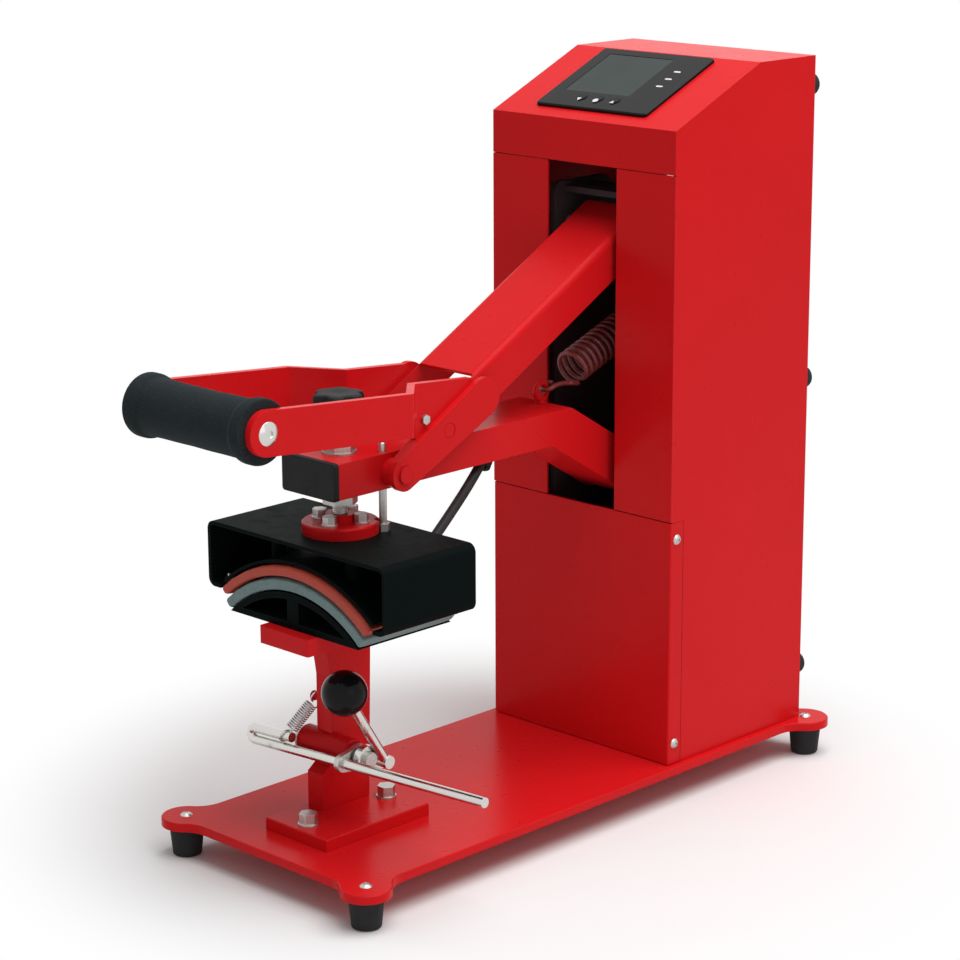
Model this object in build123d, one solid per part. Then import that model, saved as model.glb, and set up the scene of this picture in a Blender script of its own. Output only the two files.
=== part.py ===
from build123d import *
from math import acos, atan2, cos, degrees, pi, radians, sin, sqrt, tan
import os

# Cap heat press: a toggle clamp stands over a curved lower form.
# Millimetres. The origin is on the table under the middle of the base plate;
# +X is the machine's right, -Y faces the operator, +Z is up. It is drawn closed.

# ---------------------------------------------------------------- clearances
RUN = 0.05  # radial play of a pin in its bore
GAP = 0.4  # play beside a plate that turns
SEAT = 0.1  # pads and panels that lie on one another
FACE_GAP = 1.2  # heated face above the rubber it presses

# ---------------------------------------------------------------- base plate
FOOT_H = 25.0
FOOT_R = 14.0
FOOT_TIP_R = 11.5
PLATE_T = 7.0
LOBE_X = 104.0
LOBE_Y = 263.0
LOBE_R = 20.0
WAIST_X = 106.0
WAIST_Y = 271.0
WAIST_BLEND = 24.0
PLATE_TOP = FOOT_H + PLATE_T

# --------------------------------------------------------------------- tower
TOWER_HALF = 100.0
TOWER_FRONT = 84.5
TOWER_BACK = 259.3
TOWER_TOP = 605.7
SLOPE_LOW = 560.0
SLOPE_BACK = 187.7
SHEET = 2.0
SLOT_HALF = 38.0
SLOT_LOW = 241.0
SLOT_HIGH = 525.0
SEAM = 0.6
PANEL_WRAP = 16.0
COVER_T = 1.5
BUMPER_R = 10.0
BUMPER_OUT = 10.0
BUMPER_Z = (78.0, 333.0, TOWER_TOP - 24.7)
PANEL_SCREW_Z = (50.0, 226.0)

# ------------------------------------------------------------ control panel
BEZEL_X = -3.0
BEZEL_S = 61.0
BEZEL_W = 120.0
BEZEL_L = 94.0
BEZEL_T = 3.0
BEZEL_BOX = 22.0
WINDOW_W = 70.0
WINDOW_L = 61.0
WINDOW_X = -15.0
WINDOW_S = 68.5
WINDOW_T = 1.6
BUTTON_R = 4.5
BUTTON_H = 4.0
BUTTON_RISE = 0.9
BUTTON_TRAVEL = 0.6
BUTTON_S = 29.0
BUTTON_FIRST = -23.0
BUTTON_STEP = 18.0
LIGHT_X = 38.0
LIGHT_S = (57.0, 69.0, 81.0)

# --------------------------------------------------------- toggle linkage
LOW_PIVOT = (130.0, 260.0)  # (y, z) where the lower arm turns
ARM_PIVOT = (-160.0, 318.2)  # lever on the lower arm
LINK_PIVOT = (-112.5, 344.5)  # lever on the upper link
LINK_LENGTH = 260.0
LOW_PIN_R = 8.0
ARM_PIN_R = 7.0
LINK_PIN_R = 6.0
HIGH_PIN_R = 4.5

# ----------------------------------------------------------------- lower arm
ARM_HALF = 29.0
ARM_WALL = 3.0
ARM_LOW = 305.5
ARM_H = 28.0
ARM_FRONT = -215.0
ARM_REAR_HALF_H = 18.0
ARM_REAR_TILT = 31.0
SEAM_TOP_Y = -18.7
PLUG_T = 5.0
PLUG_LIP = 0.8
PLUG_R = 3.0
COLLAR_R = 11.0
COLLAR_L = 4.0

# -------------------------------------------------- upper link and lever
LINK_SHEET = 2.5
LINK_IN = 29.7
LINK_ABOVE = 12.0
LINK_BELOW = 20.0
LINK_BEND = 5.5
LINK_WEB_START = 52.0
LEVER_T = 6.0
STRIP_T = 5.0
STRIP_END = 98.0
STRIP_R_LOW = 13.0
STRIP_R_HIGH = 16.0

# -------------------------------------------------------------- handle fork
GRIP_Y = -319.8
GRIP_Z = 383.0
FORK_OUT = 71.0
LEVER_BOLT = (-135.0, 356.5)
LEVER_BOLT_R = 2.2
GRIP_SCREW_R = 4.0
FORK_BEND_Y = -176.0
FORK_H = 34.0
FORK_DROP = 0.082
FORK_BACK = -76.0
GRIP_BAR_R = 8.0
FOAM_R = 22.0
FOAM_END_R = 24.5
FOAM_END_L = 9.0

# --------------------------------------------------------------- heated head
HEAD_Y = -187.0
COVER_HALF = 100.0
COVER_LOW = 218.0
COVER_HIGH = 271.0
COVER_FRONT = -236.0
COVER_REAR = -141.0
COVER_SHEET = 3.0
COVER_BEND = 7.0
COVER_LIP = 14.0
FLANGE_R = 30.0
FLANGE_T = 9.0
HUB_R = 12.0
HUB_H = 6.0
SCREW_R = 6.0
SCREW_TOP = 365.5
KNOB_R = 21.0
KNOB_H = 15.0
GUIDE_X = 22.0
GUIDE_Y = -163.0
GUIDE_R = 3.0
GUIDE_TOP = 341.0
BLOCK_T = 2.4
BLOCK_ANGLE = 40.0
POST_X = 42.0
POST_STEP_Y = 26.0
HANGER_R = 6.0

# -------------------------------------------------------------- lower form
FORM_AXIS_Z = 124.4
FORM_R = 107.0
FOAM_T = 11.0
RUBBER_T = 9.4
FORM_LOW = 203.3
FORM_FRONT = -238.0
FORM_REAR = -141.0
FORM_WALL = 5.0
FOAM_ANGLE = 42.2
RUBBER_ANGLE = 41.0

# ------------------------------------------------------------------- stand
STAND_Y = -184.5
STAND_W = 70.0
STAND_L = 110.0
STAND_T = 10.0
STAND_BOLT_Y = 42.0
BAR_HALF = 27.5
BAR_FRONT = -248.0
BAR_REAR = -141.0
BAR_T = 13.8
POST_LEFT = -29.0
POST_RIGHT = -12.0
POST_FOOT_FRONT = -200.0
POST_FOOT_REAR = -150.0
POST_FRONT = -189.0
POST_REAR = -146.0
POST_STEP_Z = 80.0

# ------------------------------------------------------------- brim clamp
CLAMP_Y = -187.0
CLAMP_Z = 92.0
CLAMP_TUBE_R = 12.0
CLAMP_BORE_R = 6.0
CLAMP_TUBE = (-44.0, 11.0)
ROD_R = 4.0
ROD_Y = -205.0
ROD_X = (-89.5, 171.6)
ROD_Z = (85.1, 100.0)
FOLD_LENGTH = 44.0
FOLD_GAP = 1.8
LEVER_X = 30.0
LEVER_ROD_R = 4.0
LEVER_FOOT = (-171.0, 87.0)
BALL_Y = -213.5
BALL_Z = 153.5
BALL_R = 18.0

# ----------------------------------------------------------------- springs
RETURN_WIRE_R = 2.0
RETURN_COIL_R = 13.0
RETURN_TURNS = 17.75
RETURN_PITCH = 6.4
EYE_Y = 37.0
EYE_Z = 343.5
EYE_R = 7.0
EYE_WIRE_R = 2.0
ANCHOR_Y = 205.0
ANCHOR_Z = 409.0
ANCHOR_R = 5.0
CLAMP_WIRE_R = 0.65
CLAMP_COIL_R = 5.0
CLAMP_TURNS = 12.5
CLAMP_PITCH = 2.0
CLAMP_SPRING_X = (-49.0, -33.0)
CLAMP_HOOK_R = 5.3

# ------------------------------------------------------------------- cable
CABLE_R = 4.0
CABLE_POINTS = ((58, -163, 252.5), (49, -134, 264.5), (17, -49, 301.2), (9, -30, 317))

os.makedirs("parts", exist_ok=True)


def save(name, shape):
    export_step(shape, f"parts/{name}.step")


def side_plane(x):
    """Drawing plane square to X: its first axis is Y and its second is Z."""
    return Plane(origin=(x, 0, 0), x_dir=(0, 1, 0), z_dir=(1, 0, 0))


def side_plate(face, low, high):
    """A face drawn in Y and Z, made into a plate from X = low to X = high."""
    return extrude(side_plane(low) * face, amount=high - low)


def front_bar(face, front, rear):
    """A face drawn in X and Z, made into a bar from Y = front to Y = rear."""
    plane = Plane(origin=(0, rear, 0), x_dir=(1, 0, 0), z_dir=(0, -1, 0))
    return extrude(plane * face, amount=rear - front)


def both_sides(shape):
    """The shape and its mirror image across the machine's middle."""
    return Compound(children=[shape, mirror(shape, about=Plane.YZ)])


def cross_pin(y, z, r, low, high):
    """A round pin along X."""
    return side_plate(Pos(y, z) * Circle(r), low, high)


def post(x, y, r, low, high):
    """A round post along Z."""
    return Pos(x, y, low) * extrude(Circle(r), amount=high - low)


def box(x, y, z):
    """A box from three (low, high) pairs."""
    size = [high - low for low, high in (x, y, z)]
    middle = [(high + low) / 2 for low, high in (x, y, z)]
    return Pos(*middle) * Box(*size)


def hexagon(across):
    return RegularPolygon(across / 2, 6, major_radius=False)


def tapered(a, ra, b, rb):
    """Outline round two circles of different size, joined by their tangents."""
    dx, dy = b[0] - a[0], b[1] - a[1]
    along = atan2(dy, dx)
    lean = acos((ra - rb) / sqrt(dx * dx + dy * dy))
    corners = []
    for centre, r, turn in ((a, ra, lean), (b, rb, lean), (b, rb, -lean), (a, ra, -lean)):
        reach = along + turn
        corners.append((centre[0] + r * cos(reach), centre[1] + r * sin(reach)))
    flank = make_face(Polyline(*corners, close=True).edges())
    return Pos(*a) * Circle(ra) + Pos(*b) * Circle(rb) + flank


def sector(r_in, r_out, half_angle):
    """Ring sector about (0, 0), half_angle degrees each side of the vertical."""
    reach = 2 * r_out
    side = reach * sin(radians(half_angle))
    rise = reach * cos(radians(half_angle))
    wedge = make_face(Polyline((0, 0), (side, rise), (-side, rise), close=True).edges())
    return (Circle(r_out) - Circle(r_in)) & wedge


def dome_screw(r_head, rise, r_shank, length, socket=0.0):
    """Button-head screw at the origin: the head's flat is at Z = 0, shank below."""
    ball_r = (r_head * r_head + rise * rise) / (2 * rise)
    cap = Pos(0, 0, rise - ball_r) * Sphere(ball_r)
    cap = cap & (Pos(0, 0, rise) * Box(3 * r_head, 3 * r_head, 2 * rise))
    if socket:
        cap = cap - Pos(0, 0, rise / 2) * extrude(hexagon(socket), amount=rise)
    return cap + Pos(0, 0, -length) * extrude(Circle(r_shank), amount=length + rise / 4)


def hex_bolt(across, head, r_shank, length, washer=0.0):
    """Hexagon bolt at the origin: the seat is at Z = 0, the shank below it."""
    top = Pos(0, 0, washer) * extrude(hexagon(across), amount=head)
    top = top & (Pos(0, 0, washer + head / 2) * Cylinder(across * 0.56, head))
    bolt = top + Pos(0, 0, -length) * extrude(Circle(r_shank), amount=length + washer + 0.5)
    if washer:
        bolt = bolt + extrude(Circle(across * 0.62), amount=washer)
    return bolt


# ============================================================== base and feet
def base_outline():
    plan = Rectangle(2 * WAIST_X, 2 * WAIST_Y)
    for x in (-LOBE_X, LOBE_X):
        for y in (-LOBE_Y, LOBE_Y):
            plan = plan + Pos(x, y) * Circle(LOBE_R)
    return fillet(plan.vertices(), WAIST_BLEND)


foot_spots = [(x, y) for x in (-LOBE_X, LOBE_X) for y in (-LOBE_Y, LOBE_Y)]
FOOT_SCREW_R = 2.5
base = Pos(0, 0, FOOT_H) * extrude(base_outline(), amount=PLATE_T)
base = chamfer(base.faces().sort_by(Axis.Z)[-1].edges(), 0.8)
for x, y in foot_spots:
    base = base - post(x, y, FOOT_SCREW_R + 0.2, FOOT_H - 1, PLATE_TOP + 1)
stand_bolts_at = [(0, STAND_Y - STAND_BOLT_Y), (0, STAND_Y + STAND_BOLT_Y)]
STAND_BOLT_R = 4.0
for x, y in stand_bolts_at:
    base = base - post(x, y, STAND_BOLT_R + 0.2, FOOT_H - 1, PLATE_TOP + 1)
save("base_plate", base)

feet = []
for x, y in foot_spots:
    foot = Pos(x, y, FOOT_H / 2) * Cone(FOOT_TIP_R, FOOT_R, FOOT_H)
    foot = fillet(foot.faces().sort_by(Axis.Z)[0].edges(), 1.5)
    feet.append(foot - post(x, y, FOOT_SCREW_R + 0.05, FOOT_H - 12, FOOT_H + 1))
save("rubber_feet", Compound(children=feet))
screw = dome_screw(5.0, 2.6, FOOT_SCREW_R, PLATE_T + 10, socket=3.0)
save("foot_screws", Compound(children=[Pos(x, y, PLATE_TOP) * screw for x, y in foot_spots]))

# ============================================================ tower sheet metal
slope_angle = degrees(atan2(TOWER_TOP - SLOPE_LOW, SLOPE_BACK - TOWER_FRONT))
slope_plane = Plane(
    origin=(0, TOWER_FRONT, SLOPE_LOW),
    x_dir=(1, 0, 0),
    z_dir=(0, -sin(radians(slope_angle)), cos(radians(slope_angle))),
)


def hood_profile(inset):
    """Side outline of the housing, moved in by the inset on the closed sides."""
    bend = inset * tan(radians(slope_angle / 2))
    low_turn = inset * tan(radians((90 - slope_angle) / 2))
    corners = [
        (TOWER_FRONT + inset, PLATE_TOP),
        (TOWER_FRONT + inset, SLOPE_LOW - low_turn),
        (SLOPE_BACK + bend, TOWER_TOP - inset),
        (TOWER_BACK, TOWER_TOP - inset),
        (TOWER_BACK, PLATE_TOP),
    ]
    return make_face(Polyline(*corners, close=True).edges())


shell = side_plate(hood_profile(0), -TOWER_HALF, TOWER_HALF)
shell = shell - side_plate(hood_profile(SHEET), SHEET - TOWER_HALF, TOWER_HALF - SHEET)
front_cut = (TOWER_FRONT - 1, TOWER_FRONT + SHEET)
inside = TOWER_HALF - SHEET
shell = shell - box((-TOWER_HALF - 1, TOWER_HALF + 1), front_cut, (PLATE_TOP - 1, SLOT_HIGH))
wrap_cut = (TOWER_FRONT - 1, TOWER_FRONT + PANEL_WRAP)
shell = shell - box((-TOWER_HALF - 1, TOWER_HALF + 1), wrap_cut, (PLATE_TOP - 1, SLOT_LOW))
pocket = Pos(BEZEL_X, BEZEL_S) * Rectangle(BEZEL_W - 8, BEZEL_L - 8)
shell = shell - extrude(slope_plane * pocket, amount=5, both=True)
for side in (-1, 1):
    # joggled strip behind the wrapped lower panel, and a foot flange
    strip = sorted((side * (inside - SHEET), side * inside))
    strip_y = (TOWER_FRONT + SHEET, TOWER_FRONT + PANEL_WRAP + 8)
    shell = shell + box(strip, strip_y, (PLATE_TOP, SLOT_LOW - 3))
    foot = sorted((side * (inside - PANEL_WRAP), side * inside))
    foot_y = (TOWER_FRONT + PANEL_WRAP + 4, TOWER_BACK - 10)
    shell = shell + box(foot, foot_y, (PLATE_TOP, PLATE_TOP + SHEET))
    for z in PANEL_SCREW_Z:
        hole = sorted((side * (inside - 8), side * (TOWER_HALF + 1)))
        shell = shell - cross_pin(TOWER_FRONT + 8, z, 2.2, *hole)
save("tower_shell", shell)

# front frame: the middle band with the tall slot
frame_z = (SLOT_LOW + SEAM, SLOT_HIGH - SEAM)
frame_y = (TOWER_FRONT, TOWER_FRONT + SHEET)
frame = box((-TOWER_HALF, TOWER_HALF), frame_y, frame_z)
frame = frame - box((-SLOT_HALF, SLOT_HALF), (TOWER_FRONT - 1, TOWER_FRONT + 9), (0, 700))
for side in (-1, 1):
    edge = sorted((side * (inside - SHEET), side * (inside - SEAM / 4)))
    frame = frame + box(edge, (TOWER_FRONT + SHEET, TOWER_FRONT + 14), frame_z)
save("front_frame", frame)

# lower front panel: wraps onto the sides, with two dome screws on each side
panel_z = (PLATE_TOP + SEAM, SLOT_LOW - SEAM / 2)
wrap_back = TOWER_FRONT + PANEL_WRAP - SEAM
panel = box((-TOWER_HALF, TOWER_HALF), (TOWER_FRONT, wrap_back), panel_z)
panel = panel - box((-inside, inside), (TOWER_FRONT + SHEET, wrap_back + 1), (0, 700))
upright = panel.edges().filter_by(Axis.Z).filter_by(lambda e: e.center().Y < TOWER_FRONT + 1)
panel = fillet(upright, 1.5)
for side in (-1, 1):
    for z in PANEL_SCREW_Z:
        hole = sorted((side * (inside - 1), side * (TOWER_HALF + 1)))
        panel = panel - cross_pin(TOWER_FRONT + 8, z, 2.2, *hole)
save("lower_front_panel", panel)

# rear cover with vent slots, a mains inlet and a rocker switch opening
INLET_Z = 96.0
INLET_X = -30.0
SWITCH_X = 36.0
cover_z = (PLATE_TOP + 2, TOWER_TOP - SHEET - SEAM)
cover_y = (TOWER_BACK - COVER_T, TOWER_BACK)
rear = box((SEAM - inside, inside - SEAM), (TOWER_BACK - COVER_T - 8, TOWER_BACK), cover_z)
trough = (TOWER_BACK - COVER_T - 9, TOWER_BACK - COVER_T)
rear = rear - box((SEAM + COVER_T - inside, inside - SEAM - COVER_T), trough, (0, 700))
for row in range(9):
    z = 420 + 12 * row
    for x in (-34, 34):
        slot = Pos(x, z) * SlotOverall(52, 5)
        rear = rear - front_bar(slot, TOWER_BACK - 4, TOWER_BACK + 1)
rear_cut = (TOWER_BACK - 4, TOWER_BACK + 1)
rear = rear - box((INLET_X - 13.7, INLET_X + 13.7), rear_cut, (INLET_Z - 10, INLET_Z + 10))
rear = rear - box((SWITCH_X - 11, SWITCH_X + 11), rear_cut, (INLET_Z - 15, INLET_Z + 15))
bumper_spots = [(side * (TOWER_HALF - BUMPER_R), z) for side in (-1, 1) for z in BUMPER_Z]
for x, z in bumper_spots:
    rear = rear - front_bar(Pos(x, z) * Circle(3.2), TOWER_BACK - 4, TOWER_BACK + 1)
cover_screw_spots = [(side * (inside - 10), z) for side in (-1, 1) for z in (140, 270, 420, 540)]
for x, z in cover_screw_spots:
    rear = rear - front_bar(Pos(x, z) * Circle(1.7), TOWER_BACK - 4, TOWER_BACK + 1)
save("rear_cover", rear)

bumpers = []
for x, z in bumper_spots:
    pad = Pos(0, 0, BUMPER_OUT / 2) * Cylinder(BUMPER_R, BUMPER_OUT)
    pad = fillet(pad.faces().sort_by(Axis.Z)[-1].edges(), 5.5)
    pad = pad + Pos(0, 0, -2.5) * Cylinder(3.1, 6)
    bumpers.append(Pos(x, TOWER_BACK, z) * Rot(-90, 0, 0) * pad)
save("rear_bumpers", Compound(children=bumpers))

panel_screws = []
screw = dome_screw(4.5, 2.4, 2.0, 6.0, socket=2.5)
for side in (-1, 1):
    for z in PANEL_SCREW_Z:
        turn = Rot(0, 90 * side, 0)
        panel_screws.append(Pos(side * TOWER_HALF, TOWER_FRONT + 8, z) * turn * screw)
screw = dome_screw(3.2, 1.8, 1.6, 6.0)
for x, z in cover_screw_spots:
    panel_screws.append(Pos(x, TOWER_BACK, z) * Rot(-90, 0, 0) * screw)
save("panel_screws", Compound(children=panel_screws))

# mains inlet and rocker switch, seen only from behind
def rear_block(x, half_x, half_z, front, back):
    """A block on the rear face, half_x and half_z about (x, INLET_Z)."""
    depth = (TOWER_BACK + front, TOWER_BACK + back)
    return box((x - half_x, x + half_x), depth, (INLET_Z - half_z, INLET_Z + half_z))


entry = rear_block(INLET_X, 16, 12.5, 0, 2.5) + rear_block(INLET_X, 13.5, 9.8, -22, 1)
mouth = fillet((Pos(INLET_X, INLET_Z) * Rectangle(23, 15.5)).vertices(), 3)
entry = entry - front_bar(mouth, TOWER_BACK - 15, TOWER_BACK + 3)
for dx, dz in ((-7, -2), (7, -2), (0, 2)):
    entry = entry + Pos(0, 0, dz) * rear_block(INLET_X + dx, 1, 2, -16, -6)
ROCKER_AXIS_Y = TOWER_BACK - 5.0
bezel = rear_block(SWITCH_X, 13, 17, 0, 2) + rear_block(SWITCH_X, 10.8, 14.8, -18, 1)
bezel = bezel - rear_block(SWITCH_X, 9, 13, -14, 3)
save("power_entry", Compound(children=[entry, bezel]))

ROCKER_HALF_X = 8.6
ROCKER_PIVOT_R = 1.5
ROCKER_TILT = 8.0
rocker_half = [(7.4, 10.4), (1.5, 10.4), (-5.0, 4.5)]
rocker_line = rocker_half + [(out, -up) for out, up in reversed(rocker_half)] + [(5.6, 0.0)]
rocker_face = Rot(0, 0, -ROCKER_TILT) * make_face(Polyline(*rocker_line, close=True).edges())
rocker_face = Pos(ROCKER_AXIS_Y, INLET_Z) * rocker_face
rocker = side_plate(rocker_face, SWITCH_X - ROCKER_HALF_X, SWITCH_X + ROCKER_HALF_X)
pivot_reach = ROCKER_HALF_X + 0.3
rocker = rocker + cross_pin(
    ROCKER_AXIS_Y, INLET_Z, ROCKER_PIVOT_R, SWITCH_X - pivot_reach, SWITCH_X + pivot_reach
)
save("rocker_switch", rocker)

# ============================================================= control panel
def on_slope(x, s, rise=0.0):
    """Frame on the sloping face at x and the distance s up the slope."""
    return Location(slope_plane) * Pos(x, s, rise)


bezel = on_slope(BEZEL_X, BEZEL_S) * extrude(
    fillet(Rectangle(BEZEL_W, BEZEL_L).vertices(), 3), amount=BEZEL_T
)
slope_axis = Axis((0, 0, 0), slope_plane.z_dir)
bezel = chamfer(bezel.faces().sort_by(slope_axis)[-1].edges(), 0.9)
control_box = Box(BEZEL_W - 9, BEZEL_L - 9, BEZEL_BOX + 1)
bezel = bezel + on_slope(BEZEL_X, BEZEL_S, 0.5 - BEZEL_BOX / 2) * control_box
bezel = bezel - on_slope(WINDOW_X, WINDOW_S, BEZEL_T - WINDOW_T - 0.3) * extrude(
    Rectangle(WINDOW_W, WINDOW_L), amount=5
)
button_spots = [(BUTTON_FIRST + n * BUTTON_STEP, BUTTON_S) for n in range(3)]
for x, s in button_spots:
    well = extrude(Circle(BUTTON_R + 0.15), amount=BUTTON_H + 2)
    bezel = bezel - on_slope(x, s, BEZEL_T + BUTTON_RISE - BUTTON_H - BUTTON_TRAVEL - 0.3) * well
for s in LIGHT_S:
    bezel = bezel - on_slope(LIGHT_X, s, BEZEL_T - 1.5) * extrude(SlotOverall(7, 2.4), amount=3)
save("controller_bezel", bezel)
save(
    "display_window",
    on_slope(WINDOW_X, WINDOW_S, BEZEL_T - WINDOW_T - 0.3)
    * extrude(Rectangle(WINDOW_W - 0.3, WINDOW_L - 0.3), amount=WINDOW_T),
)
lights = []
for s in LIGHT_S:
    lights.append(on_slope(LIGHT_X, s, BEZEL_T - 1.5) * extrude(SlotOverall(6.8, 2.2), amount=1.7))
save("indicator_lights", Compound(children=lights))
for name, (x, s) in zip(("button_down", "button_set", "button_up"), button_spots):
    key = extrude(Circle(BUTTON_R), amount=BUTTON_H)
    key = fillet(key.faces().sort_by(Axis.Z)[-1].edges(), 0.6)
    save(name, on_slope(x, s, BEZEL_T + BUTTON_RISE - BUTTON_H) * key)

# ============================================================ linkage geometry
link_dir = (LINK_PIVOT[0] - ARM_PIVOT[0], LINK_PIVOT[1] - ARM_PIVOT[1])
short = sqrt(link_dir[0] ** 2 + link_dir[1] ** 2)
link_dir = (link_dir[0] / short, link_dir[1] / short)
link_up = (-link_dir[1], link_dir[0])


def on_link(along, across=0.0, start=LINK_PIVOT):
    """(y, z) at a distance along the upper link, and square to it."""
    y = start[0] + along * link_dir[0] + across * link_up[0]
    z = start[1] + along * link_dir[1] + across * link_up[1]
    return (y, z)


HIGH_PIVOT = on_link(LINK_LENGTH)
print("upper pivot", HIGH_PIVOT, "short link", short)

# inner uprights: two plates that carry both fixed pivots
UPRIGHT_IN = 42.0
UPRIGHT_T = 5.0
UPRIGHT_FRONT = TOWER_FRONT + 13.5
UPRIGHT_REAR = 222.0
UPRIGHT_TOP = HIGH_PIVOT[1] + 33.56
upright_corners = [
    (UPRIGHT_FRONT, PLATE_TOP),
    (UPRIGHT_FRONT, UPRIGHT_TOP),
    (UPRIGHT_REAR - 60, UPRIGHT_TOP),
    (UPRIGHT_REAR, UPRIGHT_TOP - 60),
    (UPRIGHT_REAR, PLATE_TOP),
]
upright_face = make_face(Polyline(*upright_corners, close=True).edges())
upright_face = fillet(upright_face.vertices(), 8)
upright_face = upright_face - Pos(160, 150) * fillet(Rectangle(60, 130).vertices(), 10)
plate = side_plate(upright_face, UPRIGHT_IN, UPRIGHT_IN + UPRIGHT_T)
foot_strip = (UPRIGHT_IN + UPRIGHT_T - 0.5, UPRIGHT_IN + UPRIGHT_T + 20)
plate = plate + box(foot_strip, (UPRIGHT_FRONT + 10, UPRIGHT_REAR - 10), (PLATE_TOP, PLATE_TOP + UPRIGHT_T))
boss_in = ARM_HALF + GAP
plate = plate + cross_pin(*LOW_PIVOT, LOW_PIN_R + 5, boss_in, UPRIGHT_IN + 0.5)
plate = plate - cross_pin(*LOW_PIVOT, LOW_PIN_R, boss_in - 1, UPRIGHT_IN + UPRIGHT_T + 1)
plate = plate - cross_pin(*HIGH_PIVOT, HIGH_PIN_R, UPRIGHT_IN - 1, UPRIGHT_IN + UPRIGHT_T + 1)
plate = plate - cross_pin(ANCHOR_Y, ANCHOR_Z, ANCHOR_R, UPRIGHT_IN - 1, UPRIGHT_IN + UPRIGHT_T + 1)
save("uprights", both_sides(plate))

tie_y = (UPRIGHT_FRONT + 12, UPRIGHT_FRONT + 52)
tie = box((-UPRIGHT_IN, UPRIGHT_IN), tie_y, (UPRIGHT_TOP - 9, UPRIGHT_TOP - 4))
rod_half = UPRIGHT_IN + UPRIGHT_T + 4
NECK_R = ANCHOR_R - 1.5
neck = cross_pin(ANCHOR_Y, ANCHOR_Z, ANCHOR_R + 1, -3, 3)
rod = cross_pin(ANCHOR_Y, ANCHOR_Z, ANCHOR_R, -rod_half, rod_half) - neck
rod = rod + cross_pin(ANCHOR_Y, ANCHOR_Z, NECK_R, -3.5, 3.5)
save("upright_tie", Compound(children=[tie, rod]))

pin_end = UPRIGHT_IN + UPRIGHT_T
pins = []
for (y, z), r in ((LOW_PIVOT, LOW_PIN_R), (HIGH_PIVOT, HIGH_PIN_R)):
    pin = cross_pin(y, z, r, -pin_end - 3, pin_end)
    pin = pin + cross_pin(y, z, r + 3, pin_end, pin_end + 4)
    pin = pin + cross_pin(y, z, r + 2, -pin_end - 3, -pin_end)
    pins.append(pin)
save("pivot_pins", Compound(children=pins))

# ================================================================= lower arm
tilt = radians(ARM_REAR_TILT)
rear_dir = (-cos(tilt), sin(tilt))
rear_up = (sin(tilt), cos(tilt))
arm_high = ARM_LOW + ARM_H


def on_rear(across, z):
    """y where the slanting rear piece, offset square to its axis, reaches z."""
    y0 = LOW_PIVOT[0] + across * rear_up[0]
    z0 = LOW_PIVOT[1] + across * rear_up[1]
    return y0 + (z - z0) / rear_dir[1] * rear_dir[0]


def rear_end(across):
    return (LOW_PIVOT[0] + across * rear_up[0], LOW_PIVOT[1] + across * rear_up[1])


def arm_profile(inset):
    """Side outline of the whole arm, moved in by the wall for its hollow."""
    high, low = arm_high - inset, ARM_LOW + inset
    half = ARM_REAR_HALF_H - inset
    corners = [
        (ARM_FRONT - 1, low),
        (on_rear(-half, low), low),
        rear_end(-half),
        rear_end(half),
        (on_rear(half, high), high),
        (ARM_FRONT - 1, high),
    ]
    return make_face(Polyline(*corners, close=True).edges())


seam_low_y = on_rear(-ARM_REAR_HALF_H, ARM_LOW)
solid_arm = side_plate(arm_profile(0), -ARM_HALF, ARM_HALF)
hollow = side_plate(arm_profile(ARM_WALL), ARM_WALL - ARM_HALF, ARM_HALF - ARM_WALL)
round_end = cross_pin(*LOW_PIVOT, ARM_REAR_HALF_H, -ARM_HALF, ARM_HALF)
open_end = cross_pin(*LOW_PIVOT, ARM_REAR_HALF_H + 1, ARM_WALL - ARM_HALF, ARM_HALF - ARM_WALL)
bush = cross_pin(*LOW_PIVOT, LOW_PIN_R + 5, -ARM_HALF, ARM_HALF)
seam_cut = [(ARM_FRONT - 2, 200), (ARM_FRONT - 2, 400), (SEAM_TOP_Y, 400), (SEAM_TOP_Y, arm_high)]
seam_cut = seam_cut + [(seam_low_y, ARM_LOW), (seam_low_y, 200)]
front_zone = side_plate(make_face(Polyline(*seam_cut, close=True).edges()), -60, 60)
front_zone = front_zone - box((-60, 60), (ARM_FRONT - 5, ARM_FRONT), (200, 400))

arm_front = (solid_arm & front_zone) - hollow
arm_front = arm_front - post(0, HEAD_Y, SCREW_R + 0.3, ARM_LOW - 1, arm_high + 1)
arm_front = arm_front - post(GUIDE_X, GUIDE_Y, GUIDE_R + 0.3, ARM_LOW - 1, arm_high + 1)
for side in (-1, 1):
    bore = sorted((side * (ARM_HALF - ARM_WALL - 1), side * (ARM_HALF + 1)))
    arm_front = arm_front - cross_pin(*ARM_PIVOT, ARM_PIN_R, *bore)

arm_rear = (solid_arm + round_end) - front_zone
arm_rear = arm_rear - box((-60, 60), (ARM_FRONT - 5, ARM_FRONT), (200, 400))
arm_rear = arm_rear - hollow - open_end + bush
arm_rear = arm_rear - cross_pin(*LOW_PIVOT, LOW_PIN_R + RUN, -60, 60)
gland_from = Vector(*CABLE_POINTS[2])
gland_to = Vector(*CABLE_POINTS[3])
gland_dir = (gland_to - gland_from).normalized()
wall_mid = gland_from + gland_dir * ((ARM_LOW + ARM_WALL / 2 - gland_from.Z) / gland_dir.Z)
GLAND_R = 7.0
GLAND_L = 22.0
gland_plane = Plane(origin=wall_mid - gland_dir * (GLAND_L / 2), z_dir=gland_dir)
gland_core = extrude(gland_plane * Circle(GLAND_R), amount=GLAND_L)
arm_front = arm_front - gland_core
arm_rear = arm_rear - gland_core
EYE_SHANK_R = 3.0
arm_rear = arm_rear - post(0, EYE_Y, EYE_SHANK_R + 0.1, ARM_LOW + 10, arm_high + 10)
save("lower_arm_front", arm_front)
save("lower_arm_rear", arm_rear)

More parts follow.
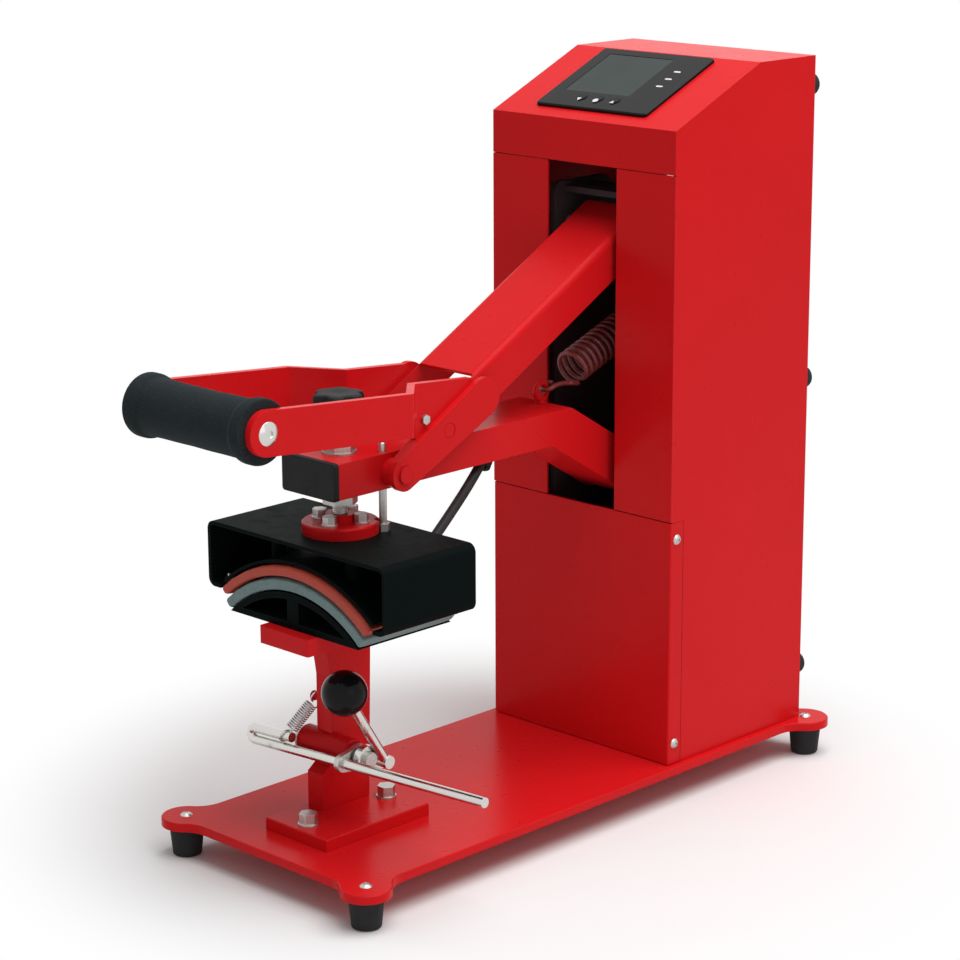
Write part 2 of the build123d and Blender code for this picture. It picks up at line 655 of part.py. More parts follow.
gland = gland_core - extrude(gland_plane * Circle(CABLE_R + 0.05), amount=GLAND_L)
save("cable_gland", gland)

tube_mid = Pos(0, ARM_LOW + ARM_H / 2)
tube_w = 2 * (ARM_HALF - ARM_WALL)
tube_h = ARM_H - 2 * ARM_WALL
plug_face = tube_mid * Rectangle(2 * (ARM_HALF + PLUG_LIP), ARM_H + 2 * PLUG_LIP)
plug_face = fillet(plug_face.vertices(), PLUG_R)
plug = front_bar(plug_face, ARM_FRONT - PLUG_T, ARM_FRONT)
plug = fillet(plug.faces().sort_by(Axis.Y)[0].edges(), 1.4)
spigot = front_bar(tube_mid * Rectangle(tube_w - 0.2, tube_h - 0.2), ARM_FRONT - 0.5, ARM_FRONT + 12)
hollow_plug = tube_mid * Rectangle(tube_w - 5, tube_h - 5)
plug = plug + spigot - front_bar(hollow_plug, ARM_FRONT - 2, ARM_FRONT + 13)
save("arm_end_plug", plug)

lever_in = ARM_HALF + COLLAR_L + GAP
stub_end = lever_in + LEVER_T + STRIP_T
stub = cross_pin(*ARM_PIVOT, ARM_PIN_R, ARM_HALF - ARM_WALL, stub_end + 2)
stub = stub + cross_pin(*ARM_PIVOT, COLLAR_R, ARM_HALF, lever_in - GAP)
stub = stub - cross_pin(*ARM_PIVOT, ARM_PIN_R + 1, stub_end + 0.5, stub_end + 1.3) + cross_pin(
    *ARM_PIVOT, ARM_PIN_R - 0.8, stub_end, stub_end + 2
)
save("arm_pivots", both_sides(stub))

NUT_TOP_H = 8.0
NUT_LOW_H = 12.0
nut_high = Pos(0, HEAD_Y, arm_high) * extrude(hexagon(22), amount=NUT_TOP_H)
nut_high = nut_high + post(0, HEAD_Y, 13.5, arm_high, arm_high + 1.6)
nut_low = Pos(0, HEAD_Y, ARM_LOW - NUT_LOW_H) * extrude(hexagon(24), amount=NUT_LOW_H)
thread = post(0, HEAD_Y, SCREW_R + RUN, ARM_LOW - NUT_LOW_H - 1, arm_high + NUT_TOP_H + 1)
save("screw_nuts", Compound(children=[nut_high - thread, nut_low - thread]))

# eye bolt on top of the arm: the return spring hooks into it
ring = Pos(0, EYE_Y, EYE_Z) * Rot(0, 90, 0) * Torus(EYE_R, EYE_WIRE_R)
shank = post(0, EYE_Y, EYE_SHANK_R, arm_high - 10, EYE_Z - EYE_R)
seat = post(0, EYE_Y, EYE_SHANK_R + 1.5, arm_high, arm_high + 2)
save("spring_eye", ring + shank + seat)

# ================================================================ upper link
link_out = LINK_IN + LINK_SHEET
reach = LINK_LENGTH + 15
link_start = Plane(
    origin=(0, *on_link(-20)), x_dir=(-1, 0, 0), z_dir=(0, link_dir[0], link_dir[1])
)
section = Pos(0, (LINK_ABOVE - LINK_BELOW) / 2) * Rectangle(2 * link_out, LINK_ABOVE + LINK_BELOW)
section = fillet(section.vertices().sort_by(Axis.Y)[-2:], LINK_BEND)
hollow_h = LINK_ABOVE - LINK_SHEET + LINK_BELOW
hollow = Pos(0, hollow_h / 2 - LINK_BELOW - 1) * Rectangle(2 * LINK_IN, hollow_h + 2)
section = section - fillet(hollow.vertices().sort_by(Axis.Y)[-2:], 1.5)
flank_corners = [
    on_link(0, LINK_ABOVE),
    on_link(reach, LINK_ABOVE),
    on_link(reach, 6 - LINK_BELOW),
    on_link(reach - 6, -LINK_BELOW),
    on_link(54, -LINK_BELOW),
    on_link(4, 0.6 - LINK_ABOVE),
]
flank = make_face(Polyline(*flank_corners, close=True).edges())
flank = flank + Pos(*LINK_PIVOT) * Circle(LINK_ABOVE)
link = extrude(link_start * section, amount=reach + 30) & side_plate(flank, -link_out - 1, link_out + 1)
open_corners = [
    on_link(-20, -LINK_BELOW),
    on_link(-20, LINK_ABOVE + 2),
    on_link(LINK_WEB_START, LINK_ABOVE + 2),
    on_link(LINK_WEB_START, -LINK_BELOW),
]
open_front = make_face(Polyline(*open_corners, close=True).edges())
link = link - side_plate(open_front, -LINK_IN, LINK_IN)
for side in (-1, 1):
    bore = sorted((side * (LINK_IN - 1), side * (link_out + 1)))
    link = link - cross_pin(*LINK_PIVOT, LINK_PIN_R + RUN, *bore)
    # the open pivot: a slot that lets the end wander by the toggle's small error
    slack = HIGH_PIN_R + 1.0
    slot = tapered(HIGH_PIVOT, slack, on_link(LINK_LENGTH - 6.0, 3.6), slack - 0.001)
    link = link - side_plate(slot, *bore)
save("toggle_link", link)

# ========================================================== lever and handle
lever_out = lever_in + LEVER_T
strip_out = lever_out + STRIP_T
strip_far = on_link(STRIP_END, -2, ARM_PIVOT)
strip_face = tapered(ARM_PIVOT, STRIP_R_LOW, strip_far, STRIP_R_HIGH)
strip = side_plate(strip_face, lever_out, strip_out)
strip = strip - cross_pin(*ARM_PIVOT, ARM_PIN_R + RUN, lever_out - 1, strip_out + 1)
strip = strip - cross_pin(*LINK_PIVOT, LINK_PIN_R, lever_out - 1, strip_out + 1)
save("toggle_plates", both_sides(strip))


def fork_z(y, side):
    """Height of the fork's upper (side = 1) or lower (side = -1) edge at y."""
    return GRIP_Z + side * FORK_H / 2 - FORK_DROP * (y - GRIP_Y)


BEND_RUN = FORK_OUT - lever_out
plan_out = [
    (FORK_OUT, GRIP_Y - FORK_H),
    (FORK_OUT, FORK_BEND_Y),
    (lever_out, FORK_BEND_Y + BEND_RUN),
    (lever_out, FORK_BACK + 20),
]
shift = LEVER_T * tan(radians(22.5))
plan_in = [
    (lever_in, FORK_BACK + 20),
    (lever_in, FORK_BEND_Y + BEND_RUN - shift),
    (FORK_OUT - LEVER_T, FORK_BEND_Y - shift),
    (FORK_OUT - LEVER_T, GRIP_Y - FORK_H),
]
plan = make_face(Polyline(*(plan_out + plan_in), close=True).edges())
bends = [v for v in plan.vertices() if GRIP_Y < v.Y < FORK_BACK]
plan = fillet(bends, 5.0)
wall = Pos(0, 0, 250) * extrude(plan, amount=200)
plate_front = FORK_BEND_Y + BEND_RUN
strap_corners = [
    (GRIP_Y, fork_z(GRIP_Y, 1)),
    (FORK_BACK - 8, fork_z(FORK_BACK - 8, 1)),
    (FORK_BACK, fork_z(FORK_BACK, 1) - 8),
    (FORK_BACK, fork_z(FORK_BACK, -1)),
    (GRIP_Y, fork_z(GRIP_Y, -1)),
]
strap = make_face(Polyline(*strap_corners, close=True).edges())
strap = strap + Pos(GRIP_Y, GRIP_Z) * Circle(FORK_H / 2)
gusset_corners = [
    (plate_front, fork_z(plate_front, 1) - 1),
    (plate_front, fork_z(plate_front, -1) - 10),
    on_link(-2, STRIP_R_LOW - 2, ARM_PIVOT),
    on_link(0, 2 - STRIP_R_LOW, ARM_PIVOT),
    on_link(short + 40, -12, ARM_PIVOT),
    (FORK_BACK, fork_z(FORK_BACK, -1) + 1),
    (FORK_BACK - 8, fork_z(FORK_BACK - 8, -1) + 12),
]
gusset = make_face(Polyline(*gusset_corners, close=True).edges())
gusset = gusset + Pos(*ARM_PIVOT) * Circle(STRIP_R_LOW - 1.5)
arm = wall & side_plate(strap, 0, 2 * FORK_OUT)
arm = arm + side_plate(gusset, lever_in, lever_out)
arm = arm - cross_pin(*ARM_PIVOT, ARM_PIN_R + RUN, lever_in - 1, lever_out + 1)
arm = arm - cross_pin(*LINK_PIVOT, LINK_PIN_R, lever_in - 1, lever_out + 1)
arm = arm - cross_pin(*LEVER_BOLT, LEVER_BOLT_R, lever_in - 1, lever_out + 1)
arm = arm - cross_pin(GRIP_Y, GRIP_Z, GRIP_SCREW_R, FORK_OUT - LEVER_T - 1, FORK_OUT + 1)
save("handle_arm_right", arm)
save("handle_arm_left", mirror(arm, about=Plane.YZ))

joint_pin = cross_pin(*LINK_PIVOT, LINK_PIN_R, LINK_IN, strip_out)
joint_pin = chamfer(joint_pin.faces().sort_by(Axis.X)[-1].edges(), 0.6)
save("link_pins", both_sides(joint_pin))

bolt = Pos(lever_out, *LEVER_BOLT) * Rot(0, 90, 0) * hex_bolt(7, 3, LEVER_BOLT_R, LEVER_T)
save("lever_bolts", both_sides(bolt))

fork_in = FORK_OUT - LEVER_T
grip_bar = cross_pin(GRIP_Y, GRIP_Z, GRIP_BAR_R, -fork_in, fork_in)
for side in (-1, 1):
    tap = sorted((side * (fork_in - 16), side * (fork_in + 1)))
    grip_bar = grip_bar - cross_pin(GRIP_Y, GRIP_Z, GRIP_SCREW_R, *tap)
save("grip_bar", grip_bar)

foam_half = fork_in - 0.5
bulge = FOAM_END_R - FOAM_R
foam_line = [
    (0, GRIP_BAR_R + SEAT),
    (foam_half, GRIP_BAR_R + SEAT),
    (foam_half, FOAM_END_R - 3),
    (foam_half - 3, FOAM_END_R),
    (foam_half - FOAM_END_L, FOAM_END_R),
    (foam_half - FOAM_END_L - 6, FOAM_R),
    (0, FOAM_R + 0.8),
]
foam_half_face = make_face(Polyline(*foam_line, close=True).edges())
turned = [v for v in foam_half_face.vertices() if v.Y > FOAM_R - 0.1 and v.X > 1]
foam_half_face = fillet(turned, 2.0)
foam = revolve(foam_half_face, Axis.X)
save("foam_grip", Pos(0, GRIP_Y, GRIP_Z) * (foam + mirror(foam, about=Plane.YZ)))

cap = dome_screw(9.0, 2.6, GRIP_SCREW_R, LEVER_T + 14, socket=5.0)
save("grip_screws", both_sides(Pos(FORK_OUT, GRIP_Y, GRIP_Z) * Rot(0, 90, 0) * cap))

# ================================================================ heated head
cover_mid = (COVER_LOW + COVER_HIGH) / 2
cover_h = COVER_HIGH - COVER_LOW
outer = fillet((Pos(0, cover_mid) * Rectangle(2 * COVER_HALF, cover_h)).vertices(), COVER_BEND)
inner = Pos(0, cover_mid) * Rectangle(2 * (COVER_HALF - COVER_SHEET), cover_h - 2 * COVER_SHEET)
inner = fillet(inner.vertices(), COVER_BEND - COVER_SHEET)
channel = outer - inner - Pos(0, COVER_LOW) * Rectangle(2 * (COVER_HALF - COVER_LIP), 2 * COVER_BEND)
cover = front_bar(channel, COVER_FRONT, COVER_REAR)
flange_bolt_spots = [(18 * cos(radians(a)), HEAD_Y + 18 * sin(radians(a))) for a in (20, 110, 200, 290)]
FLANGE_BOLT_R = 3.0
for x, y in flange_bolt_spots:
    cover = cover - post(x, y, FLANGE_BOLT_R, COVER_HIGH - 8, COVER_HIGH + 1)
cover = cover - post(GUIDE_X, GUIDE_Y, GUIDE_R, COVER_HIGH - 8, COVER_HIGH + 1)
lip_spots = [(sx * (COVER_HALF - 10.5), y) for sx in (-1, 1) for y in (COVER_FRONT + 12, COVER_REAR - 12)]
LIP_SCREW_R = 1.6
for x, y in lip_spots:
    cover = cover - post(x, y, LIP_SCREW_R, COVER_LOW - 1, COVER_LOW + 8)
save("heater_cover", cover)

block_in = FORM_R + FOAM_T + RUBBER_T + FACE_GAP
block_out = block_in + BLOCK_T
arch_face = Pos(0, FORM_AXIS_Z) * sector(block_in, block_out, BLOCK_ANGLE)
block = front_bar(arch_face, COVER_FRONT + 2, COVER_REAR - 2)
hang_top = COVER_HIGH - COVER_SHEET
posts = []
for x in (-POST_X, POST_X):
    for y in (HEAD_Y - POST_STEP_Y, HEAD_Y + POST_STEP_Y):
        hanger = post(x, y, HANGER_R, FORM_AXIS_Z, hang_top)
        posts.append(hanger - front_bar(Pos(0, FORM_AXIS_Z) * Circle(block_out), COVER_FRONT, COVER_REAR))
save("block_hangers", Compound(children=posts))
# a ceramic terminal on the arch, where the heater cable starts
term_x, term_y, term_z = CABLE_POINTS[0]
TERM_W = 16.0
term_x_span = (term_x - TERM_W / 2, term_x + TERM_W / 2)
term_low = FORM_AXIS_Z + block_in / 2
terminal = box(term_x_span, (term_y - TERM_W, term_y + 3), (term_low, term_z + 6))
under = Pos(0, FORM_AXIS_Z) * Circle((block_in + block_out) / 2)
terminal = terminal - front_bar(under, COVER_FRONT, COVER_REAR)
cable_way = (Vector(*CABLE_POINTS[1]) - Vector(*CABLE_POINTS[0])).normalized()
socket = Plane(origin=Vector(*CABLE_POINTS[0]) - cable_way * SEAT, z_dir=cable_way)
block = block + terminal - extrude(socket * Circle(CABLE_R + SEAT), amount=20)
save("heater_block", block)

lip_screw = Rot(180, 0, 0) * dome_screw(3.4, 2.0, LIP_SCREW_R, 3.0, socket=2.0)
nut = extrude(hexagon(6), amount=2.6)
fasteners = []
for x, y in lip_spots:
    fasteners.append(Pos(x, y, COVER_LOW) * lip_screw)
    lip_top = COVER_LOW + COVER_SHEET
    fasteners.append(Pos(x, y, lip_top) * nut + post(x, y, LIP_SCREW_R, lip_top, lip_top + 6))
save("cover_screws", Compound(children=fasteners))

flange_top = COVER_HIGH + FLANGE_T
flange = post(0, HEAD_Y, FLANGE_R, COVER_HIGH, flange_top)
flange = chamfer(flange.faces().sort_by(Axis.Z)[-1].edges(), 1.0)
flange = flange + post(0, HEAD_Y, HUB_R, flange_top - 0.5, flange_top + HUB_H)
flange = flange - post(0, HEAD_Y, SCREW_R + RUN, COVER_HIGH - 1, flange_top + HUB_H + 1)
for x, y in flange_bolt_spots:
    flange = flange - post(x, y, FLANGE_BOLT_R, COVER_HIGH - 1, flange_top + 1)
    flange = flange - post(x, y, 6.3, flange_top, flange_top + HUB_H + 1)
flange = flange - post(GUIDE_X, GUIDE_Y, 6.6, COVER_HIGH - 1, flange_top + 1)
save("head_flange", flange)
bolt = hex_bolt(10, 6, FLANGE_BOLT_R, FLANGE_T + COVER_SHEET, 1.2)
flange_bolts = [Pos(x, y, flange_top) * bolt for x, y in flange_bolt_spots]
save("flange_bolts", Compound(children=flange_bolts))

guide = post(GUIDE_X, GUIDE_Y, GUIDE_R, COVER_HIGH - COVER_SHEET, GUIDE_TOP)
guide = chamfer(guide.faces().sort_by(Axis.Z)[-1].edges(), 0.8)
guide = guide + Pos(GUIDE_X, GUIDE_Y, COVER_HIGH) * extrude(hexagon(10), amount=6)
save("guide_rod", guide)

# pressure screw and star knob
tip = COVER_HIGH + 1.0
stem = post(0, HEAD_Y, SCREW_R, tip, SCREW_TOP + KNOB_H - 3)
save("pressure_screw", chamfer(stem.edges().sort_by(Axis.Z)[-1], 1.0))
lobes = Circle(KNOB_R - 5)
LOBES = 6
for n in range(LOBES):
    turn = radians(360 / LOBES * n + 12)
    lobes = lobes + Pos((KNOB_R - 6.5) * cos(turn), (KNOB_R - 6.5) * sin(turn)) * Circle(6.5)
lobes = fillet(lobes.vertices(), 3.0)
knob = Pos(0, HEAD_Y, SCREW_TOP) * extrude(lobes, amount=KNOB_H)
knob = fillet(knob.faces().sort_by(Axis.Z)[-1].edges(), 2.5)
knob = chamfer(knob.faces().sort_by(Axis.Z)[0].edges(), 1.5)
knob = knob + post(0, HEAD_Y, 10, SCREW_TOP - 8, SCREW_TOP + 1)
knob = knob - post(0, HEAD_Y, SCREW_R, SCREW_TOP - 9, SCREW_TOP + KNOB_H - 3)
save("star_knob", knob)

# ============================================================ lower form, pads
form_half = sqrt(FORM_R**2 - (FORM_LOW - FORM_AXIS_Z) ** 2)
above = Pos(0, FORM_LOW + FORM_R) * Rectangle(4 * FORM_R, 2 * FORM_R)
segment = (Pos(0, FORM_AXIS_Z) * Circle(FORM_R)) & above
pocket_arc = (Pos(0, FORM_AXIS_Z) * Circle(FORM_R - FORM_WALL)) & (Pos(0, FORM_WALL) * above)
rib = Pos(0, FORM_LOW) * Rectangle(12, 4 * FORM_R)
pocket_arc = pocket_arc - rib
form = front_bar(segment, FORM_FRONT, FORM_REAR)
mid_wall = (FORM_FRONT + FORM_REAR) / 2
form = form - front_bar(pocket_arc, FORM_FRONT - 1, mid_wall - 4)
form = form - front_bar(pocket_arc, mid_wall + 4, FORM_REAR + 1)
FORM_BOLT_R = 3.0
form_bolt_spots = [(0, FORM_FRONT + 22), (0, FORM_REAR - 22)]
for x, y in form_bolt_spots:
    form = form - post(x, y, FORM_BOLT_R, FORM_LOW - 1, FORM_LOW + 14)
save("lower_form", form)

foam_face = Pos(0, FORM_AXIS_Z) * sector(FORM_R + SEAT, FORM_R + FOAM_T, FOAM_ANGLE)
save("foam_pad", front_bar(foam_face, FORM_FRONT, FORM_REAR))
rubber_in = FORM_R + FOAM_T + SEAT
rubber_face = Pos(0, FORM_AXIS_Z) * sector(rubber_in, rubber_in + RUBBER_T - SEAT, RUBBER_ANGLE)
save("silicone_pad", front_bar(rubber_face, FORM_FRONT, FORM_REAR))

# ====================================================================== stand
stand_top = PLATE_TOP + STAND_T
bar_low = FORM_LOW - BAR_T
stand = Pos(0, STAND_Y, PLATE_TOP + STAND_T / 2) * Box(STAND_W, STAND_L, STAND_T)
stand = chamfer(stand.faces().sort_by(Axis.Z)[-1].edges(), 0.8)
for x, y in stand_bolts_at:
    stand = stand - post(x, y, STAND_BOLT_R + 0.2, PLATE_TOP - 1, stand_top + 1)
save("stand_foot", stand)
bolt = hex_bolt(13, 8, STAND_BOLT_R, STAND_T + PLATE_T + 9, 1.6)
lock = Pos(0, 0, -STAND_T - PLATE_T - 6.5) * extrude(hexagon(13), amount=6.5)
lock = lock - Pos(0, 0, -40) * extrude(Circle(STAND_BOLT_R - 0.5), amount=60)
stand_bolts = [Pos(x, y, stand_top) * (bolt + lock) for x, y in stand_bolts_at]

foot_part = [(POST_FOOT_FRONT, stand_top), (POST_FOOT_FRONT, POST_STEP_Z - 8), (POST_FRONT, POST_STEP_Z)]
post_corners = foot_part + [
    (POST_FRONT, 150),
    (POST_FRONT - 4, bar_low - 14),
    (POST_FRONT - 4, bar_low),
    (POST_REAR, bar_low),
    (POST_REAR - 2, CLAMP_Z + 20),
    (POST_FOOT_REAR, stand_top),
]
post_face = make_face(Polyline(*post_corners, close=True).edges())
pillar = side_plate(post_face, POST_LEFT, POST_RIGHT)
pillar = pillar - cross_pin(CLAMP_Y, CLAMP_Z, CLAMP_TUBE_R, POST_LEFT - 1, POST_RIGHT + 1)
STUD_Y = -185.0
STUD_Z = 129.0
STUD_R = 3.0
STUD_REACH = 6.0
stud_end = POST_LEFT - STUD_REACH
pillar = pillar + cross_pin(STUD_Y, STUD_Z, STUD_R, stud_end, POST_LEFT + 1)
pillar = pillar + cross_pin(STUD_Y, STUD_Z, STUD_R + 1, stud_end - 2, stud_end)
save("stand_post", pillar)

bar = box((-BAR_HALF, BAR_HALF), (BAR_FRONT, BAR_REAR), (bar_low, FORM_LOW))
bar = fillet(bar.edges().filter_by(Axis.Z), 2.0)
for x, y in form_bolt_spots:
    bar = bar - post(x, y, FORM_BOLT_R, bar_low - 1, FORM_LOW + 1)
bolt = Rot(180, 0, 0) * hex_bolt(10, 5, FORM_BOLT_R, BAR_T + 11)
stand_bolts = stand_bolts + [Pos(x, y, bar_low) * bolt for x, y in form_bolt_spots]
save("stand_bar", bar)
save("stand_bolts", Compound(children=stand_bolts))

tube = cross_pin(CLAMP_Y, CLAMP_Z, CLAMP_TUBE_R, *CLAMP_TUBE)
tube = chamfer(tube.edges().filter_by(GeomType.CIRCLE), 1.0)
save("clamp_tube", tube - cross_pin(CLAMP_Y, CLAMP_Z, CLAMP_BORE_R + RUN, -80, 40))

# ================================================================= brim clamp
LUG_IN = LEVER_X - LEVER_ROD_R - 4.5
LUG_OUT = LUG_IN + 6.0
RING_T = 2.0
shaft_left, shaft_right = CLAMP_TUBE[0] - 5.0, LUG_OUT + RING_T + 1.5
shaft = cross_pin(CLAMP_Y, CLAMP_Z, CLAMP_BORE_R, shaft_left, shaft_right)
shaft = shaft + cross_pin(CLAMP_Y, CLAMP_Z, CLAMP_BORE_R + 3, shaft_left, CLAMP_TUBE[0] - GAP)
shaft = shaft + cross_pin(CLAMP_Y, CLAMP_Z, CLAMP_BORE_R + 0.6, LUG_OUT, LUG_OUT + RING_T)
rise = (ROD_Z[1] - ROD_Z[0]) / (ROD_X[1] - ROD_X[0])


def rod_at(x):
    """Height of the brim rod's lower strand at x."""
    return ROD_Z[0] + rise * (x - ROD_X[0])


CRANK_X = 17.0
crank_face = tapered((CLAMP_Y, CLAMP_Z), 10.0, (ROD_Y, rod_at(CRANK_X)), 7.0)
crank = side_plate(crank_face, CRANK_X - 2.5, CRANK_X + 2.5)
rod_dir = Vector(1, 0, rise).normalized()
fold_step = 2 * ROD_R + FOLD_GAP
fold_up = Vector(-rod_dir.Z, 0, rod_dir.X) * fold_step
rod_start = Vector(ROD_X[0] + ROD_R + 1, ROD_Y, rod_at(ROD_X[0] + ROD_R + 1))
rod_end = Vector(ROD_X[1], ROD_Y, ROD_Z[1])
fold_far = rod_start + fold_up + rod_dir * FOLD_LENGTH
main_run = Line(rod_end, rod_start)
turn_run = TangentArc(rod_start, rod_start + fold_up, tangent=rod_dir * -1)
back_run = Line(rod_start + fold_up, fold_far)
rod_path = Wire([main_run.edge(), turn_run.edge(), back_run.edge()])
rod = sweep(Plane(origin=rod_end, z_dir=rod_dir * -1) * Circle(ROD_R), path=rod_path)
crank = crank - extrude(Plane(origin=rod_end, z_dir=rod_dir * -1) * Circle(ROD_R), amount=220)
save("clamp_rod", rod)

lug_face = tapered((CLAMP_Y, CLAMP_Z), 11.0, LEVER_FOOT, LEVER_ROD_R + 2.0)
lug = side_plate(lug_face, LUG_IN, LUG_OUT)
lug = lug - cross_pin(CLAMP_Y, CLAMP_Z, CLAMP_BORE_R, LUG_IN - 1, LUG_OUT + 1)
lever_a = Vector(LEVER_X, *LEVER_FOOT)
ball_at = Vector(LEVER_X, BALL_Y, BALL_Z)
lever_dir = (ball_at - lever_a).normalized()
lever_len = (ball_at - lever_a).length - BALL_R * 0.3
lever_rod = extrude(Plane(origin=lever_a, z_dir=lever_dir) * Circle(LEVER_ROD_R), amount=lever_len)
weld = cross_pin(*LEVER_FOOT, LEVER_ROD_R + 1.2, LUG_IN, LEVER_X + LEVER_ROD_R + 0.8)
save("clamp_lever", lug + lever_rod + weld)
ball = Pos(*ball_at) * Sphere(BALL_R)
ball_bore = extrude(Plane(origin=lever_a, z_dir=lever_dir) * Circle(LEVER_ROD_R), amount=lever_len)
save("ball_knob", ball - ball_bore)
spacer = cross_pin(CLAMP_Y, CLAMP_Z, CLAMP_BORE_R + 2.2, CLAMP_TUBE[1] + GAP, CRANK_X - 2.5)
spacer = spacer + cross_pin(CLAMP_Y, CLAMP_Z, CLAMP_BORE_R + 2.2, CRANK_X + 2.5, LUG_IN)
save("clamp_shaft", shaft + spacer + crank)


# ==================================================================== springs
def biarc(p, t, q, u):
    """Two tangent arcs from p, leaving along t, to q, arriving along u."""
    v = q - p
    both = t + u
    a = 2 * (1 - t.dot(u))
    b = v.dot(both)
    d = (-b + sqrt(b * b + a * v.dot(v))) / a if a > 1e-9 else v.dot(v) / (2 * b)
    middle = (p + q + (t - u) * d) * 0.5
    turn = (middle - (p + t * d)).normalized()
    return [TangentArc(p, middle, tangent=t).edge(), TangentArc(middle, q, tangent=turn).edge()]


def hook(centre, axis, side, r):
    """Three quarters of a circle, from beyond the centre round to its side."""
    spots = [centre + axis * r, centre - side * r, centre - axis * r, centre + side * r]
    ways = [side * -1, axis * -1, side]
    return [TangentArc(spots[n], spots[n + 1], tangent=ways[n]).edge() for n in range(3)]


def tension_spring(name, low, high, low_side, coil_r, wire_r, turns, pitch, hook_r):
    """Coil between two hooks: low and high are the middles of the hook circles.

    low_side is the way the lower hook faces; the coil starts a quarter turn on,
    so that each hook runs into the coil without a kink. Each half turn of the
    helix is two tangent arcs.
    """
    axis = (high - low).normalized()
    side = (low_side - axis * low_side.dot(axis)).normalized()
    other = axis.cross(side)
    start = ((high - low).length - turns * pitch) / 2

    def coil(turn):
        angle = 2 * pi * (turn + 0.25)
        out = side * cos(angle) + other * sin(angle)
        round_way = other * cos(angle) - side * sin(angle)
        spot = low + axis * (start + turn * pitch) + out * coil_r
        return spot, (round_way * (2 * pi * coil_r) + axis * pitch).normalized()

    stops = [n / 2 for n in range(int(2 * turns) + 1)]
    if stops[-1] < turns:
        stops.append(turns)
    stations = [coil(turn) for turn in stops]
    last_angle = 2 * pi * (turns + 0.5)
    high_side = side * cos(last_angle) + other * sin(last_angle)
    edges = hook(low, axis, side, hook_r)
    edges += biarc(low + side * hook_r, axis, *stations[0])
    for here, there in zip(stations, stations[1:]):
        edges += biarc(*here, *there)
    edges += biarc(*stations[-1], high + high_side * hook_r, axis)
    top = [high + high_side * hook_r, high + axis * hook_r]
    top = top + [high - high_side * hook_r, high - axis * hook_r]
    ways = [axis, high_side * -1, axis * -1]
    edges += [TangentArc(top[n], top[n + 1], tangent=ways[n]).edge() for n in range(3)]
    path = Wire(edges)
    count = int(path.length / (2 * wire_r))
    spots = [path.position_at(n / count) for n in range(count + 1)]
    skip = int(4 * hook_r / (2 * wire_r)) + 2
    least = min((q - p).length for n, p in enumerate(spots) for q in spots[n + skip :])
    print(name, "length", round(path.length, 1), "least gap to itself", round(least - 2 * wire_r, 2))
    return sweep(Plane(origin=spots[0], z_dir=path.tangent_at(0)) * Circle(wire_r), path=path)


# The lower hook passes through the eye; the upper one lies in the rod's groove.
eye = Vector(0, EYE_Y, EYE_Z)
anchor = Vector(0, ANCHOR_Y, ANCHOR_Z)
RETURN_HOOK_R = NECK_R + RETURN_WIRE_R + SEAT
pull = (anchor - eye).normalized()
eye_inside = EYE_R - EYE_WIRE_R - RETURN_WIRE_R - SEAT
low_hook = eye + pull * (eye_inside + RETURN_HOOK_R)
save(
    "return_spring",
    tension_spring(
        "return spring",
        low_hook,
        anchor,
        Vector(1, 0, 0),
        RETURN_COIL_R,
        RETURN_WIRE_R,
        RETURN_TURNS,
        RETURN_PITCH,
        RETURN_HOOK_R,
    ),
)
save(
    "clamp_spring",
    tension_spring(
        "clamp spring",
        Vector(CLAMP_SPRING_X[0], ROD_Y, rod_at(CLAMP_SPRING_X[0]) + fold_step),
        Vector(CLAMP_SPRING_X[1], STUD_Y, STUD_Z),
        Vector(0, 0.93, -0.36),
        CLAMP_COIL_R,
        CLAMP_WIRE_R,
        CLAMP_TURNS,
        CLAMP_PITCH,
        CLAMP_HOOK_R,
    ),
)

# ================================================================ heater cable
points = [Vector(*spot) for spot in CABLE_POINTS]
cable_radii = []
for before, here, after in zip(points, points[1:], points[2:]):
    one, two = here - before, after - here
    half_turn = radians(one.get_angle(two)) / 2
    cable_radii.append(0.45 * min(one.length, two.length) / tan(half_turn))
route = FilletPolyline(*points, radius=cable_radii)
cable = sweep(Plane(origin=points[0], z_dir=points[1] - points[0]) * Circle(CABLE_R), path=route)
print("heater cable length", round(route.length, 1), "radii", [round(r, 1) for r in cable_radii])
print("section times length", round(pi * CABLE_R**2 * route.length), "volume", round(cable.volume))
save("heater_cable", cable)
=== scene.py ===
import math

import bpy
import numpy as np
from mathutils import Matrix, Vector


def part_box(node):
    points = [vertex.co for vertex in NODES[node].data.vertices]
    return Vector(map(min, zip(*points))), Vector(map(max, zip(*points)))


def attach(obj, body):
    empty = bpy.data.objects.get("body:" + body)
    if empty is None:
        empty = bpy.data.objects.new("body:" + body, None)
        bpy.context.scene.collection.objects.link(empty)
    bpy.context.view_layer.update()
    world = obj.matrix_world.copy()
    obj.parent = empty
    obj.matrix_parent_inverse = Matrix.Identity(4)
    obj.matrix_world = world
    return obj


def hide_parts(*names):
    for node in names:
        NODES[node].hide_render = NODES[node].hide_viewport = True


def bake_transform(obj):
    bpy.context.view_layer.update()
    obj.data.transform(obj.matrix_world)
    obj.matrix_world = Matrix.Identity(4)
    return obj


bl_info = {
    "name": "Cap heat press",
    "version": (1, 0, 0),
    "blender": (4, 5, 0),
    "location": "3D View > Sidebar > Press",
    "description": "Pads, springs, cable, grips and finishes of a cap heat press",
    "category": "Add Mesh",
}

